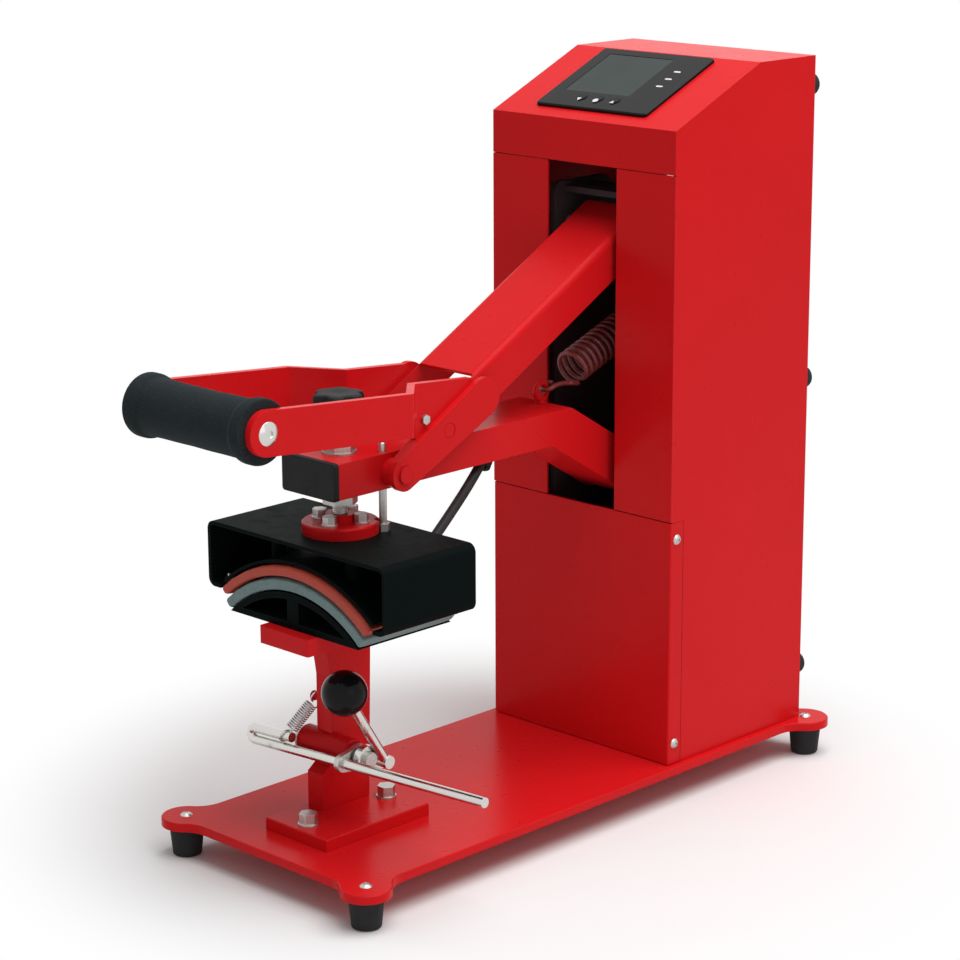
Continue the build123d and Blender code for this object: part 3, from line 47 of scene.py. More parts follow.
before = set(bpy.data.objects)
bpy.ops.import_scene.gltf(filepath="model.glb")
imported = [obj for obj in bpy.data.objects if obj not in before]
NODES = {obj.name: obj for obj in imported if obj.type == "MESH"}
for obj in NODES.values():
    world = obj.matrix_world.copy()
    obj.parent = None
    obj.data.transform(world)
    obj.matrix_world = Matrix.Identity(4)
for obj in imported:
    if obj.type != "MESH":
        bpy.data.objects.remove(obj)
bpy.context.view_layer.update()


# ------------------------------------------------------------------ sizes and colours
def length(name, description, default):
    return bpy.props.FloatProperty(
        name=name, description=description, default=default, unit="LENGTH", precision=5
    )


def number(name, description, default):
    return bpy.props.FloatProperty(name=name, description=description, default=default)


def count(name, description, default):
    return bpy.props.IntProperty(name=name, description=description, default=default)


def colour(name, description, default):
    return bpy.props.FloatVectorProperty(
        name=name,
        description=description,
        default=default,
        size=3,
        subtype="COLOR",
        min=0.0,
        max=1.0,
    )


def place(name, description, default):
    return bpy.props.FloatVectorProperty(
        name=name,
        description=description,
        default=default,
        size=3,
        subtype="XYZ",
        unit="LENGTH",
        precision=5,
    )


class ReturnSpringSizes(bpy.types.PropertyGroup):
    eye: place("Eye", "Middle of the eye on the arm", (0.0, 0.037, 0.3435))
    anchor: place("Anchor", "Middle of the anchor rod in the tower", (0.0, 0.205, 0.409))
    wire: length("Wire radius", "Radius of the spring wire", 0.0020)
    coil: length("Coil radius", "Radius of the coil to the wire's middle", 0.0130)
    hook: length("Hook radius", "Radius of both end hooks", 0.0056)
    hook_start: length("Hook offset", "From the eye's middle to the lower hook's middle", 0.0085)
    pitch: length("Pitch", "Advance of the coil each turn", 0.0064)
    turns: number("Turns", "Turns in the coil", 17.75)


class ClampSpringSizes(bpy.types.PropertyGroup):
    eye: place("Rod", "Where the spring hooks on the brim rod", (-0.0490, -0.2050, 0.0972))
    anchor: place("Stud", "Middle of the stud on the post", (-0.0330, -0.1850, 0.1290))
    wire: length("Wire radius", "Radius of the spring wire", 0.00065)
    coil: length("Coil radius", "Radius of the coil to the wire's middle", 0.0050)
    hook: length("Hook radius", "Radius of both end hooks", 0.0053)
    hook_start: length("Hook offset", "From the rod's middle to the hook's middle", 0.0)
    pitch: length("Pitch", "Advance of the coil each turn", 0.0020)
    turns: number("Turns", "Turns in the coil", 12.5)


class CableSizes(bpy.types.PropertyGroup):
    radius: length("Radius", "Radius of the heater cable", 0.0040)
    terminal: place("Terminal", "Where the cable leaves the heated block", (0.058, -0.163, 0.2525))
    behind: place("Behind", "Where it bends up behind the cover", (0.049, -0.134, 0.2645))
    under_arm: place("Under the arm", "Where it turns up to the gland", (0.017, -0.049, 0.3012))
    gland: place("Gland", "Where it ends inside the arm", (0.009, -0.030, 0.317))


class GripSizes(bpy.types.PropertyGroup):
    rim_length: length("Rim length", "Length of the raised rim at each end", 0.0090)
    rim_rise: length("Rim rise", "Height of the rim above the sleeve", 0.0025)
    slack: length("Slack", "How far the foam sinks in where it is handled most", 0.0006)
    ball_facets: count("Ball facets", "Faces round the ball knob", 64)


class PadSizes(bpy.types.PropertyGroup):
    axis_z: length("Axis height", "Height of the curved form's axis", 0.1244)
    foam_inner: length("Foam inner radius", "Under side of the foam pad", 0.1071)
    foam_outer: length("Foam outer radius", "Upper side of the foam pad", 0.1179)
    rubber_inner: length("Rubber inner radius", "Under side of the rubber pad", 0.1182)
    rubber_outer: length("Rubber outer radius", "Upper side of the rubber pad", 0.1273)
    foam_angle: number("Foam half angle", "Half of the arc the foam covers, in degrees", 42.0)
    rubber_angle: number("Rubber half angle", "Half of the arc the rubber covers, in degrees", 40.8)
    edge: length("Edge radius", "Rounding of the pads' cut edges", 0.0012)


class ScrewSizes(bpy.types.PropertyGroup):
    pitch: length("Thread pitch", "Advance of the pressure screw each turn", 0.0015)
    depth: length("Thread depth", "Depth of its thread", 0.0009)
    lobes: count("Lobes", "Lobes on the star knob", 6)
    lobe_depth: length("Lobe depth", "How far the star knob draws in between lobes", 0.0042)


class PaintColours(bpy.types.PropertyGroup):
    red: colour("Red enamel", "Colour of the machine's enamel", (0.68, 0.010, 0.013))
    black: colour("Black enamel", "Colour of the heater cover", (0.0035, 0.0060, 0.0058))
    foam: colour("Pad foam", "Colour of the grey foam pad", (0.19, 0.27, 0.27))
    rubber: colour("Pad rubber", "Colour of the orange-red rubber pad", (0.50, 0.064, 0.036))
    wire: colour("Return spring", "Lacquer on the return spring", (0.20, 0.028, 0.026))
    screen: colour("Screen", "Colour of the unlit display", (0.030, 0.040, 0.037))


class StageSizes(bpy.types.PropertyGroup):
    camera: place("Camera", "Where the camera stands", (1.5396, -1.5985, 0.8582))
    lens: number("Lens", "Focal length in millimetres", 105.95)
    turn: number("Turn", "Degrees the view is turned from straight ahead to the left", 44.55)
    tip: number("Tip", "Degrees the view looks down", 14.70)
    roll: number("Roll", "Degrees the frame leans", -0.2375)
    floor: length("Floor size", "Width of the floor", 12.0)
    shade_near: length("Shadow start", "How far out the floor starts turning white", 0.26)
    shade_far: length("Shadow end", "How far out the floor is plain white", 0.46)
    sky: number("Sky", "Strength of the light from all round", 0.28)
    top_light: number("Top light", "Power of the overhead soft light, in watts", 72.0)


# ---------------------------------------------------------------------- mesh making
def unit(v):
    v = np.asarray(v, float)
    return v / np.linalg.norm(v, axis=-1, keepdims=True)


def grid_piece(name, grid, finish, body=None, around=True, ends=True):
    """A mesh from a grid of points: rows along the piece, columns round it.

    Each cell is a quad; with around, the last column joins the first; with
    ends, each end row closes on its own middle.
    """
    rows, columns = grid.shape[:2]
    verts = grid.reshape(-1, 3)
    r = np.arange(rows - 1)[:, None]
    c = np.arange(columns if around else columns - 1)[None, :]
    n = (c + 1) % columns
    row, above = r * columns, (r + 1) * columns
    quads = np.stack([row + c, row + n, above + n, above + c], -1)
    faces = quads.reshape(-1, 4).tolist()
    if ends:
        first, last = len(verts), len(verts) + 1
        verts = np.vstack([verts, grid[0].mean(0), grid[-1].mean(0)])
        k = np.arange(columns)
        m = (k + 1) % columns
        base = (rows - 1) * columns
        faces += np.stack([m, k, np.full(columns, first)], -1).tolist()
        faces += np.stack([base + k, base + m, np.full(columns, last)], -1).tolist()
    mesh = bpy.data.meshes.new(name)
    mesh.from_pydata(verts.tolist(), [], faces)
    mesh.validate()
    mesh.update()
    mesh.polygons.foreach_set("use_smooth", np.ones(len(mesh.polygons), bool))
    if signed_volume(mesh) < 0:
        mesh.flip_normals()
    piece = bpy.data.objects.new(name, mesh)
    bpy.context.scene.collection.objects.link(piece)
    mesh.materials.append(finish)
    if body:
        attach(piece, body)
    return piece


def signed_volume(mesh):
    """Sum of the tetrahedra from the origin to every triangle: negative when inside out."""
    mesh.calc_loop_triangles()
    co = np.empty(len(mesh.vertices) * 3)
    mesh.vertices.foreach_get("co", co)
    tri = np.empty(len(mesh.loop_triangles) * 3, np.int32)
    mesh.loop_triangles.foreach_get("vertices", tri)
    a, b, c = co.reshape(-1, 3)[tri.reshape(-1, 3)].transpose(1, 0, 2)
    return float(np.einsum("ij,ij->i", a, np.cross(b, c)).sum())


def tube_grid(path, radius, sides, reference):
    """Circles square to a path: the path's point plus radius times cosine and sine of two
    directions square to its tangent, the first leaning to a fixed reference direction."""
    tangent = unit(np.gradient(path, axis=0))
    first = unit(reference - tangent * (tangent @ reference)[:, None])
    second = np.cross(tangent, first)
    angle = np.linspace(0, 2 * math.pi, sides, endpoint=False)
    radius = np.broadcast_to(radius, len(path))[:, None, None]
    cos, sin = np.cos(angle)[None, :, None], np.sin(angle)[None, :, None]
    return path[:, None] + radius * (cos * first[:, None] + sin * second[:, None])


def turned_grid(x, r, sides):
    """A profile turned about X: the point at x and r goes round as r times cosine and sine."""
    angle = np.linspace(0, 2 * math.pi, sides, endpoint=False)
    ones = np.ones(sides)
    return np.stack([x[:, None] * ones, r[:, None] * np.sin(angle), r[:, None] * np.cos(angle)], -1)


def arc(middle, a, b, radius, start, stop, steps):
    """Part of a circle in the plane of the directions a and b, angles in turns."""
    t = np.linspace(start, stop, steps)[:, None] * 2 * math.pi
    return middle + radius * (np.cos(t) * a + np.sin(t) * b)


def bridge(p, t, q, u, steps):
    """A cubic from p, leaving along t, to q, arriving along u."""
    s = np.linspace(0, 1, steps)[1:-1, None]
    reach = 1.3 * np.linalg.norm(q - p)
    return (
        (2 * s**3 - 3 * s**2 + 1) * p
        + (s**3 - 2 * s**2 + s) * reach * t
        + (3 * s**2 - 2 * s**3) * q
        + (s**3 - s**2) * reach * u
    )


COIL_STEPS = 48  # points in each turn of a spring
HOOK_STEPS = 60  # points in each hook
BRIDGE_STEPS = 24  # points from a hook into the coil
WIRE_SIDES = 14


def tension_spring(name, size, low_side, finish):
    """A close tension spring: three quarters of a circle for each hook, a helix between them
    (coil radius times cosine and sine of the turn, plus pitch times the turn along the axis),
    and a cubic from each hook into the helix."""
    eye, anchor = np.array(size.eye), np.array(size.anchor)
    axis = unit(anchor - eye)
    low = eye + axis * size.hook_start
    side = unit(low_side - axis * (axis @ low_side))
    other = np.cross(axis, side)
    start = (np.linalg.norm(anchor - low) - size.turns * size.pitch) / 2

    def out(turn):
        angle = 2 * math.pi * (turn + 0.25)
        return np.cos(angle) * side + np.sin(angle) * other

    turn = np.linspace(0, size.turns, int(size.turns * COIL_STEPS))[:, None]
    coil = low + axis * (start + turn * size.pitch) + out(turn) * size.coil
    high_side = out(np.array([size.turns + 0.25]))
    enter = unit(coil[1] - coil[0])
    leave = unit(coil[-1] - coil[-2])
    low_hook = arc(low, axis, side, size.hook, 0, -0.75, HOOK_STEPS)
    high_hook = arc(anchor, high_side, axis, size.hook, 0, 0.75, HOOK_STEPS)
    path = np.vstack(
        [
            low_hook,
            bridge(low_hook[-1], axis, coil[0], enter, BRIDGE_STEPS),
            coil,
            bridge(coil[-1], leave, high_hook[0], axis, BRIDGE_STEPS),
            high_hook,
        ]
    )
    grid = tube_grid(path, size.wire, WIRE_SIDES, unit(axis + side + other))
    spring = grid_piece(name, grid, finish)
    return spring, low + axis * size.hook, anchor - axis * size.hook


# ------------------------------------------------------------------------- materials
class Value:
    """A shader value: arithmetic on it adds Math nodes to its material."""

    def __init__(self, finish, socket):
        self.finish, self.socket = finish, socket

    def math(self, operation, *terms):
        return self.finish.node("ShaderNodeMath", {"operation": operation}, dict(enumerate(terms)))

    def __add__(self, other):
        return self.math("ADD", self, other)

    def __radd__(self, other):
        return self.math("ADD", other, self)

    def __rsub__(self, other):
        return self.math("SUBTRACT", other, self)

    def __mul__(self, other):
        return self.math("MULTIPLY", self, other)

    def __rmul__(self, other):
        return self.math("MULTIPLY", other, self)

    def above(self, edge, soft):
        """0 below the edge, 1 above edge + soft, smooth between."""
        return self.finish.node(
            "ShaderNodeMapRange",
            {"interpolation_type": "SMOOTHSTEP"},
            {"Value": self, "From Min": edge, "From Max": edge + soft},
        )


BEVEL_SAMPLES = 4


class Finish:
    """A material made of nodes round one Principled shader, on Object coordinates in metres."""

    def __init__(self, name, **fixed):
        self.material = bpy.data.materials.new(name)
        self.material.use_nodes = True
        self.tree = self.material.node_tree
        self.tree.nodes.clear()
        self.shader = self.tree.nodes.new("ShaderNodeBsdfPrincipled")
        output = self.tree.nodes.new("ShaderNodeOutputMaterial")
        self.tree.links.new(self.shader.outputs["BSDF"], output.inputs["Surface"])
        self.place = self.node("ShaderNodeTexCoord", out="Object")
        for key, value in fixed.items():
            socket = key.replace("_", " ").title().replace("Ior", "IOR")
            self.shader.inputs[socket].default_value = value

    def node(self, kind, settings=None, sockets=None, out=0):
        """Adds a node: its settings first, then the values or links of its sockets."""
        made = self.tree.nodes.new(kind)
        for key, value in (settings or {}).items():
            setattr(made, key, value)
        for key, value in (sockets or {}).items():
            self.join(made.inputs[key], value)
        return Value(self, made.outputs[out])

    def join(self, socket, value):
        if isinstance(value, Value):
            self.tree.links.new(value.socket, socket)
        elif hasattr(value, "__len__") and len(value) == 3 and socket.type == "RGBA":
            socket.default_value = (*value, 1)
        else:
            socket.default_value = value

    def noise(self, scale, detail=3.0, stretch=(1, 1, 1)):
        """Cloudy noise from 0 to 1, with scale cells to the metre."""
        where = self.node("ShaderNodeMapping", None, {"Vector": self.place, "Scale": stretch})
        sockets = {"Vector": where, "Scale": scale, "Detail": detail, "Roughness": 0.55}
        return self.node("ShaderNodeTexNoise", None, sockets, "Fac")

    def cells(self, scale):
        """Distance to the nearest of scattered points, about 0 to 1 across a cell."""
        sockets = {"Vector": self.place, "Scale": scale}
        return self.node("ShaderNodeTexVoronoi", {"feature": "F1"}, sockets, "Distance")

    def dot(self, a, b):
        """Dot product of two vectors."""
        settings = {"operation": "DOT_PRODUCT"}
        return self.node("ShaderNodeVectorMath", settings, {0: a, 1: b}, "Value")

    def rounded(self, radius):
        """The normal with sharp edges rounded by a radius."""
        return self.node("ShaderNodeBevel", {"samples": BEVEL_SAMPLES}, {"Radius": radius})

    def stripes(self, direction, spacing):
        """Sine ridges square to a direction, one each spacing metres."""
        along = self.dot(self.place, direction)
        return along.math("SINE", along * (2 * math.pi / spacing))

    def edges(self, radius):
        """1 on a sharp edge, 0 on a flat: how far the rounded normal leaves the true one."""
        true = self.node("ShaderNodeNewGeometry", out="Normal")
        return (1 - self.dot(self.rounded(radius), true)).above(0.03, 0.22)

    def blend(self, factor, low, high):
        """Colour from low to high by the factor."""
        sockets = {"Factor": factor, 6: low, 7: high}
        return self.node("ShaderNodeMix", {"data_type": "RGBA"}, sockets, 2)

    def colour(self, value):
        self.join(self.shader.inputs["Base Color"], value)

    def rough(self, value):
        self.join(self.shader.inputs["Roughness"], value)

    def relief(self, height, depth, round_edges=0.0):
        """Bump of a height from 0 to 1, depth metres at 1, over edges rounded by a radius."""
        sockets = {"Height": height, "Distance": depth, "Strength": 1.0}
        if round_edges:
            sockets["Normal"] = self.rounded(round_edges)
        self.join(self.shader.inputs["Normal"], self.node("ShaderNodeBump", None, sockets))


def tint(shade, factor):
    return tuple(min(1.0, c * factor) for c in shade)


def red_enamel():
    """Stoved gloss enamel: faint orange peel, soft mottling, thin and paler on the edges."""
    red = tuple(bpy.context.scene.press_paint.red)
    f = Finish(
        "red_enamel", roughness=0.3, coat_weight=0.02, coat_roughness=0.12, specular_ior_level=0.06
    )
    cloud = f.noise(7.0, 4.0)
    body = f.blend(cloud, tint(red, 0.92), tint(red, 1.06))
    f.colour(f.blend(f.edges(0.0010) * 0.22, body, (0.80, 0.07, 0.07)))
    f.rough(0.24 + 0.10 * f.noise(60.0))
    f.relief(f.noise(330.0, 1.5), 0.00002, 0.0009)
    return f.material


def black_enamel():
    """Satin stoved black: fine texture, light rubbing on edges, a little dust."""
    black = tuple(bpy.context.scene.press_paint.black)
    f = Finish("black_enamel", roughness=0.45, specular_ior_level=0.015)
    dust = f.noise(40.0, 5.0).above(0.52, 0.25)
    body = f.blend(dust * 0.2, black, (0.011, 0.014, 0.014))
    f.colour(f.blend(f.edges(0.0012) * 0.4, body, (0.045, 0.047, 0.047)))
    f.rough(0.40 + 0.16 * f.noise(120.0) + 0.12 * dust)
    f.relief(f.noise(800.0, 2.0), 0.00008, 0.0010)
    return f.material


def painted_shade_and_dust():
    """Near-black painted shade for the parts inside the tower, with dust lying on it."""
    f = Finish("painted_shade_and_dust", roughness=0.7, specular_ior_level=0.1)
    dust = f.noise(25.0, 5.0).above(0.45, 0.3)
    # The near-black body colour is painted shade; the paler blend on it is dust.
    f.colour(f.blend(dust * 0.3, (0.050, 0.038, 0.042), (0.10, 0.080, 0.084)))
    f.rough(0.62 + 0.2 * dust)
    f.relief(f.noise(500.0), 0.0001)
    return f.material


def zinc():
    """Zinc-plated steel: spangled grey with a faint warm haze and dull spots."""
    f = Finish("zinc", metallic=1.0, roughness=0.35)
    haze = f.noise(90.0, 4.0)
    spots = f.cells(700.0)
    body = f.blend(haze, (0.42, 0.405, 0.38), (0.62, 0.61, 0.585))
    f.colour(f.blend(spots.above(0.55, 0.3) * 0.5, body, (0.34, 0.33, 0.31)))
    f.rough(0.26 + 0.22 * haze)
    f.relief(f.noise(1500.0, 2.0), 0.00004, 0.0004)
    return f.material


def chrome():
    """Bright rod: fine draw lines along it and small worn patches."""
    f = Finish("chrome", metallic=1.0, roughness=0.15)
    lines = f.noise(60.0, 3.0, (0.6, 16, 16))
    worn = f.noise(70.0, 4.0).above(0.58, 0.2)
    f.colour(f.blend(worn * 0.6, (0.64, 0.63, 0.60), (0.40, 0.38, 0.35)))
    f.rough(0.14 + 0.14 * lines + 0.2 * worn)
    f.relief(lines, 0.00003, 0.0003)
    return f.material


def lacquered_wire():
    """Spring wire in dull red-brown lacquer, rubbed to steel in places."""
    shade = tuple(bpy.context.scene.press_paint.wire)
    f = Finish("lacquered_wire", roughness=0.4, specular_ior_level=0.5)
    rubbed = f.noise(260.0, 4.0).above(0.60, 0.14)
    body = f.blend(f.noise(90.0), tint(shade, 0.7), tint(shade, 1.3))
    f.colour(f.blend(rubbed * 0.6, body, (0.34, 0.28, 0.26)))
    f.rough(0.32 + 0.2 * f.noise(200.0))
    f.relief(f.noise(1400.0), 0.00004)
    return f.material


def bright_wire():
    """Small zinc-coated spring wire."""
    f = Finish("bright_wire", metallic=1.0, roughness=0.3)
    haze = f.noise(700.0, 3.0)
    f.colour(f.blend(haze, (0.45, 0.45, 0.45), (0.78, 0.78, 0.77)))
    f.rough(0.22 + 0.2 * haze)
    return f.material


def grip_foam():
    """Closed-cell foam sleeve: pores, a slightly open skin, greyed on the ridges between the pores.
    """
    f = Finish("grip_foam", roughness=0.9, specular_ior_level=0.15)
    pores = f.cells(1100.0)
    cloud = f.noise(45.0, 4.0)
    body = f.blend(cloud, (0.008, 0.012, 0.013), (0.020, 0.028, 0.031))
    f.colour(f.blend(pores.above(0.5, 0.3) * 0.5, body, (0.030, 0.038, 0.042)))
    f.rough(0.82 + 0.14 * cloud)
    f.relief(pores * 0.6 + 0.4 * f.noise(420.0, 4.0), 0.00035)
    return f.material


def pad_foam():
    """Grey heat-proof foam: small open pores, darker on the ridges between them."""
    shade = tuple(bpy.context.scene.press_paint.foam)
    f = Finish("pad_foam", roughness=0.9)
    pores = f.cells(900.0)
    cloud = f.noise(60.0, 4.0)
    body = f.blend(cloud, tint(shade, 0.8), tint(shade, 1.2))
    f.colour(f.blend(pores.above(0.45, 0.3) * 0.4, body, tint(shade, 0.55)))
    f.rough(0.84 + 0.12 * cloud)
    f.relief(pores * 0.5 + 0.5 * f.noise(600.0, 3.0), 0.0003)
    return f.material


def pad_rubber():
    """Orange-red silicone rubber: a fine cloth print on the skin, mottled by heat."""
    shade = tuple(bpy.context.scene.press_paint.rubber)
    f = Finish("pad_rubber", roughness=0.6, specular_ior_level=0.4)
    heat = f.noise(35.0, 5.0)
    body = f.blend(heat, tint(shade, 0.72), tint(shade, 1.12))
    f.colour(f.blend(f.noise(420.0, 2.0).above(0.62, 0.1) * 0.4, body, tint(shade, 0.5)))
    f.rough(0.5 + 0.2 * heat)
    weave = f.stripes((1, 0, 0), 0.0011) * f.stripes((0, 1, 0), 0.0011)
    f.relief(weave * 0.5 + 0.5 * f.noise(500.0), 0.00012)
    return f.material


def foot_rubber():
    """Moulded black rubber: matt bloom and fine grain."""
    f = Finish("foot_rubber", roughness=0.75, specular_ior_level=0.2)
    bloom = f.noise(70.0, 5.0)
    f.colour(f.blend(bloom, (0.010, 0.010, 0.011), (0.034, 0.034, 0.035)))
    f.rough(0.62 + 0.25 * bloom)
    f.relief(f.noise(1100.0), 0.0001, 0.0006)
    return f.material


def gloss_moulding():
    """Polished black plastic with faint swirls and a few fine marks."""
    f = Finish("gloss_moulding", roughness=0.15, specular_ior_level=0.10)
    marks = f.noise(200.0, 5.0, (1, 1, 6)).above(0.62, 0.1)
    f.colour(f.blend(f.noise(30.0) * 0.6, (0.006, 0.006, 0.007), (0.016, 0.017, 0.018)))
    f.rough(0.10 + 0.06 * f.noise(80.0) + 0.14 * marks)
    f.relief(f.noise(260.0), 0.00003, 0.0005)
    return f.material


def dull_moulding():
    """Grained black plastic."""
    f = Finish("dull_moulding", roughness=0.5, specular_ior_level=0.12)
    grain = f.cells(1500.0)
    f.colour(f.blend(f.noise(60.0), (0.007, 0.008, 0.008), (0.020, 0.021, 0.022)))
    f.rough(0.42 + 0.2 * grain)
    f.relief(grain, 0.00012, 0.0006)
    return f.material


def screen_glass():
    """Unlit grey-green display behind glass: a faint pixel grid and a clouded centre."""
    shade = tuple(bpy.context.scene.press_paint.screen)
    f = Finish(
        "screen_glass",
        roughness=0.12,
        coat_weight=0.04,
        coat_roughness=0.04,
        specular_ior_level=0.08,
    )
    grid = f.stripes((1, 0, 0), 0.0016) * f.stripes((0, 1, 0), 0.0016)
    body = f.blend(f.noise(22.0, 3.0), tint(shade, 0.75), tint(shade, 1.5))
    f.colour(f.blend(grid.above(0.0, 0.9) * 0.25, body, tint(shade, 0.6)))
    f.rough(0.10 + 0.08 * f.noise(50.0))
    f.relief(f.noise(90.0), 0.00002)
    return f.material


def white_print():
    """White marks printed on the bezel, a little uneven."""
    f = Finish("white_print", roughness=0.5)
    f.colour(f.blend(f.noise(900.0, 2.0), (0.55, 0.56, 0.55), (0.85, 0.86, 0.85)))
    f.rough(0.4 + 0.2 * f.noise(300.0))
    return f.material


def cable_jacket():
    """Black cable jacket: matt, with a slight bloom."""
    f = Finish("cable_jacket", roughness=0.5, specular_ior_level=0.2)
    bloom = f.noise(120.0, 4.0)
    f.colour(f.blend(bloom, (0.008, 0.008, 0.009), (0.030, 0.030, 0.031)))
    f.rough(0.40 + 0.22 * bloom)
    f.relief(f.noise(1300.0), 0.00006)
    return f.material


FINISHES = {}


def finish(make):
    """The material of a maker function, made once."""
    if make not in FINISHES:
        FINISHES[make] = make()
    return FINISHES[make]


def coat(make, *names):
    """Gives CAD nodes a finish in all their slots."""
    for name in names:
        slots = NODES[name].data.materials
        slots.clear()
        slots.append(finish(make))


# --------------------------------------------------------------------------- pieces
CABLE_SIDES = 24
GRIP_STEPS = 420  # points along the sleeve's profile
GRIP_SIDES = 128
SECTION_POWER = 7  # how square a pad's section is
PAD_STEPS = 160  # points along a pad's arc
PAD_WAVE = 0.0003  # height of the waves in a pad's upper side
KNOB_STEPS = 160  # points along the star knob's profile
KNOB_SIDES = 144
SCREW_SIDES = 40
THREAD_STEPS = 8  # points in each turn of the thread, along the screw
MARK_SIZE = 0.0026  # radius of the marks on the keys


class PRESS_OT_heater_cable(bpy.types.Operator):
    """Make the heater cable, from the heated block up into the arm"""

    bl_idname = "press.heater_cable"
    bl_label = "Heater cable"

    def execute(self, context):
        size = context.scene.press_cable
        points = [size.terminal, size.behind, size.under_arm, size.gland]
        curve = bpy.data.curves.new("cable_route", "CURVE")
        curve.dimensions = "3D"
        curve.resolution_u = 24
        spline = curve.splines.new("NURBS")
        spline.points.add(len(points) - 1)
        weighted = np.hstack([np.array(points), np.ones((len(points), 1))])
        spline.points.foreach_set("co", weighted.ravel())
        spline.order_u = 3
        spline.use_endpoint_u = True
        holder = bpy.data.objects.new("cable_route", curve)
        context.scene.collection.objects.link(holder)
        context.view_layer.update()
        line = bpy.data.meshes.new_from_object(holder)
        path = np.empty(len(line.vertices) * 3)
        line.vertices.foreach_get("co", path)
        path = path.reshape(-1, 3)
        bpy.data.objects.remove(holder)
        bpy.data.meshes.remove(line)
        grid = tube_grid(path, size.radius, CABLE_SIDES, np.array([1.0, 0.0, 0.0]))
        cable = grid_piece("heater_cord", grid, finish(cable_jacket))
        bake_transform(cable)
        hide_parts("heater_cable")
        return {"FINISHED"}


class PRESS_OT_springs(bpy.types.Operator):
    """Make the return spring and the clamp's small spring, each hooked at both ends"""

    bl_idname = "press.springs"
    bl_label = "Springs"

    def execute(self, context):
        scene = context.scene
        spring, low, high = tension_spring(
            "return_coil", scene.press_return_spring, np.array([1.0, 0, 0]), finish(lacquered_wire)
        )
        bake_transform(spring)
        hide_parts("return_spring")
        spring, low, high = tension_spring(
            "clamp_coil", scene.press_clamp_spring, np.array([0, 0.93, -0.36]), finish(bright_wire)
        )
        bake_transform(spring)
        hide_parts("clamp_spring")
        return {"FINISHED"}


def soften(values, width):
    """Rounds the corners of a profile by averaging each point with its neighbours."""
    kernel = np.hanning(width + 2)[1:-1]
    kernel /= kernel.sum()
    half = width // 2
    padded = np.concatenate([np.full(half, values[0]), values, np.full(half, values[-1])])
    return np.convolve(padded, kernel, "valid")


class PRESS_OT_foam_grip(bpy.types.Operator):
    """Make the handle's foam sleeve with its raised rims"""

    bl_idname = "press.foam_grip"
    bl_label = "Foam grip"

    def execute(self, context):
        size = context.scene.press_grip
        low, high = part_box("foam_grip")
        middle = (low + high) / 2
        half = (high.x - low.x) / 2
        rim = (high.z - low.z) / 2
        bar = (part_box("grip_bar")[1].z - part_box("grip_bar")[0].z) / 2 + 0.0001
        sleeve = rim - size.rim_rise
        neck = half - size.rim_length
        x = np.array([-half, -half, -neck, -neck + 0.004, 0, neck - 0.004, neck, half, half])
        r = np.array([bar, rim, rim, sleeve, sleeve, sleeve, rim, rim, bar])
        run = np.concatenate([[0], np.cumsum(np.hypot(np.diff(x), np.diff(r)))])
        s = np.linspace(0, run[-1], GRIP_STEPS)
        x, r = soften(np.interp(s, run, x), 15), soften(np.interp(s, run, r), 15)
        grid = turned_grid(x, r, GRIP_SIDES)
        angle = np.linspace(0, 2 * math.pi, GRIP_SIDES, endpoint=False)[None, :]
        held = np.exp(-((x[:, None] / (0.6 * half)) ** 2)) * (1 + 0.6 * np.cos(angle - 0.6)) / 1.6
        lumps = np.sin(x[:, None] * 130 + 2 * np.sin(angle)) * np.sin(3 * angle + x[:, None] * 55)
        sink = size.slack * (held + 0.25 * lumps * (np.abs(x[:, None]) < neck - 0.004))
        shrink = 1 - sink / np.maximum(r[:, None], 0.02)
        grid[..., 1:] *= shrink[..., None]
        grid += np.array(middle)
        grip = grid_piece("foam_sleeve", grid, finish(grip_foam), "handle_lever", ends=False)
        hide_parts("foam_grip")
        return {"FINISHED"}


def arc_pad(name, inner, outer, half_angle, ends, axis_z, edge, finish_made):
    """A curved pad: a rounded rectangle of radius and Y, carried round the form's axis.

    The section is |u| and |v| to a high power summing to one, which rounds its corners; the
    outer side lifts and sinks by a small sine wave along the arc and across it."""
    section = np.linspace(0, 2 * math.pi, 96, endpoint=False)
    middle_r, half_r = (inner + outer) / 2, (outer - inner) / 2
    middle_y, half_y = (ends[0] + ends[1]) / 2, (ends[1] - ends[0]) / 2
    cos, sin = np.cos(section), np.sin(section)
    power = SECTION_POWER
    u = np.sign(cos) * np.abs(cos) ** (2 / power)
    v = np.sign(sin) * np.abs(sin) ** (2 / power)
    swell = 1 / np.maximum(np.abs(u) ** power + np.abs(v) ** power, 1e-9) ** (1 / power)
    inset_y = half_y - edge
    y = middle_y + np.clip(v * swell, -1, 1) * half_y
    r = middle_r + np.clip(u * swell, -1, 1) * half_r
    a = np.radians(half_angle)
    phi = np.linspace(-a, a, PAD_STEPS)
    end_round = np.clip((a - np.abs(phi)) * middle_r / edge, 0, 1)
    pull = 1 - (1 - np.sqrt(1 - (1 - end_round) ** 2)) * edge / half_r
    rr = middle_r + (r - middle_r)[None, :] * pull[:, None]
    along = np.sin(phi * 23 + 1.3)[:, None]
    across = np.sin((y - middle_y) / inset_y * 2.2 + 0.5)[None, :]
    rr = rr - np.abs(PAD_WAVE * along * across) * (r > middle_r)[None, :]
    sin_phi, cos_phi = np.sin(phi)[:, None], np.cos(phi)[:, None]
    grid = np.stack([rr * sin_phi, np.broadcast_to(y, rr.shape), axis_z + rr * cos_phi], -1)
    return grid_piece(name, grid, finish_made, "tower")


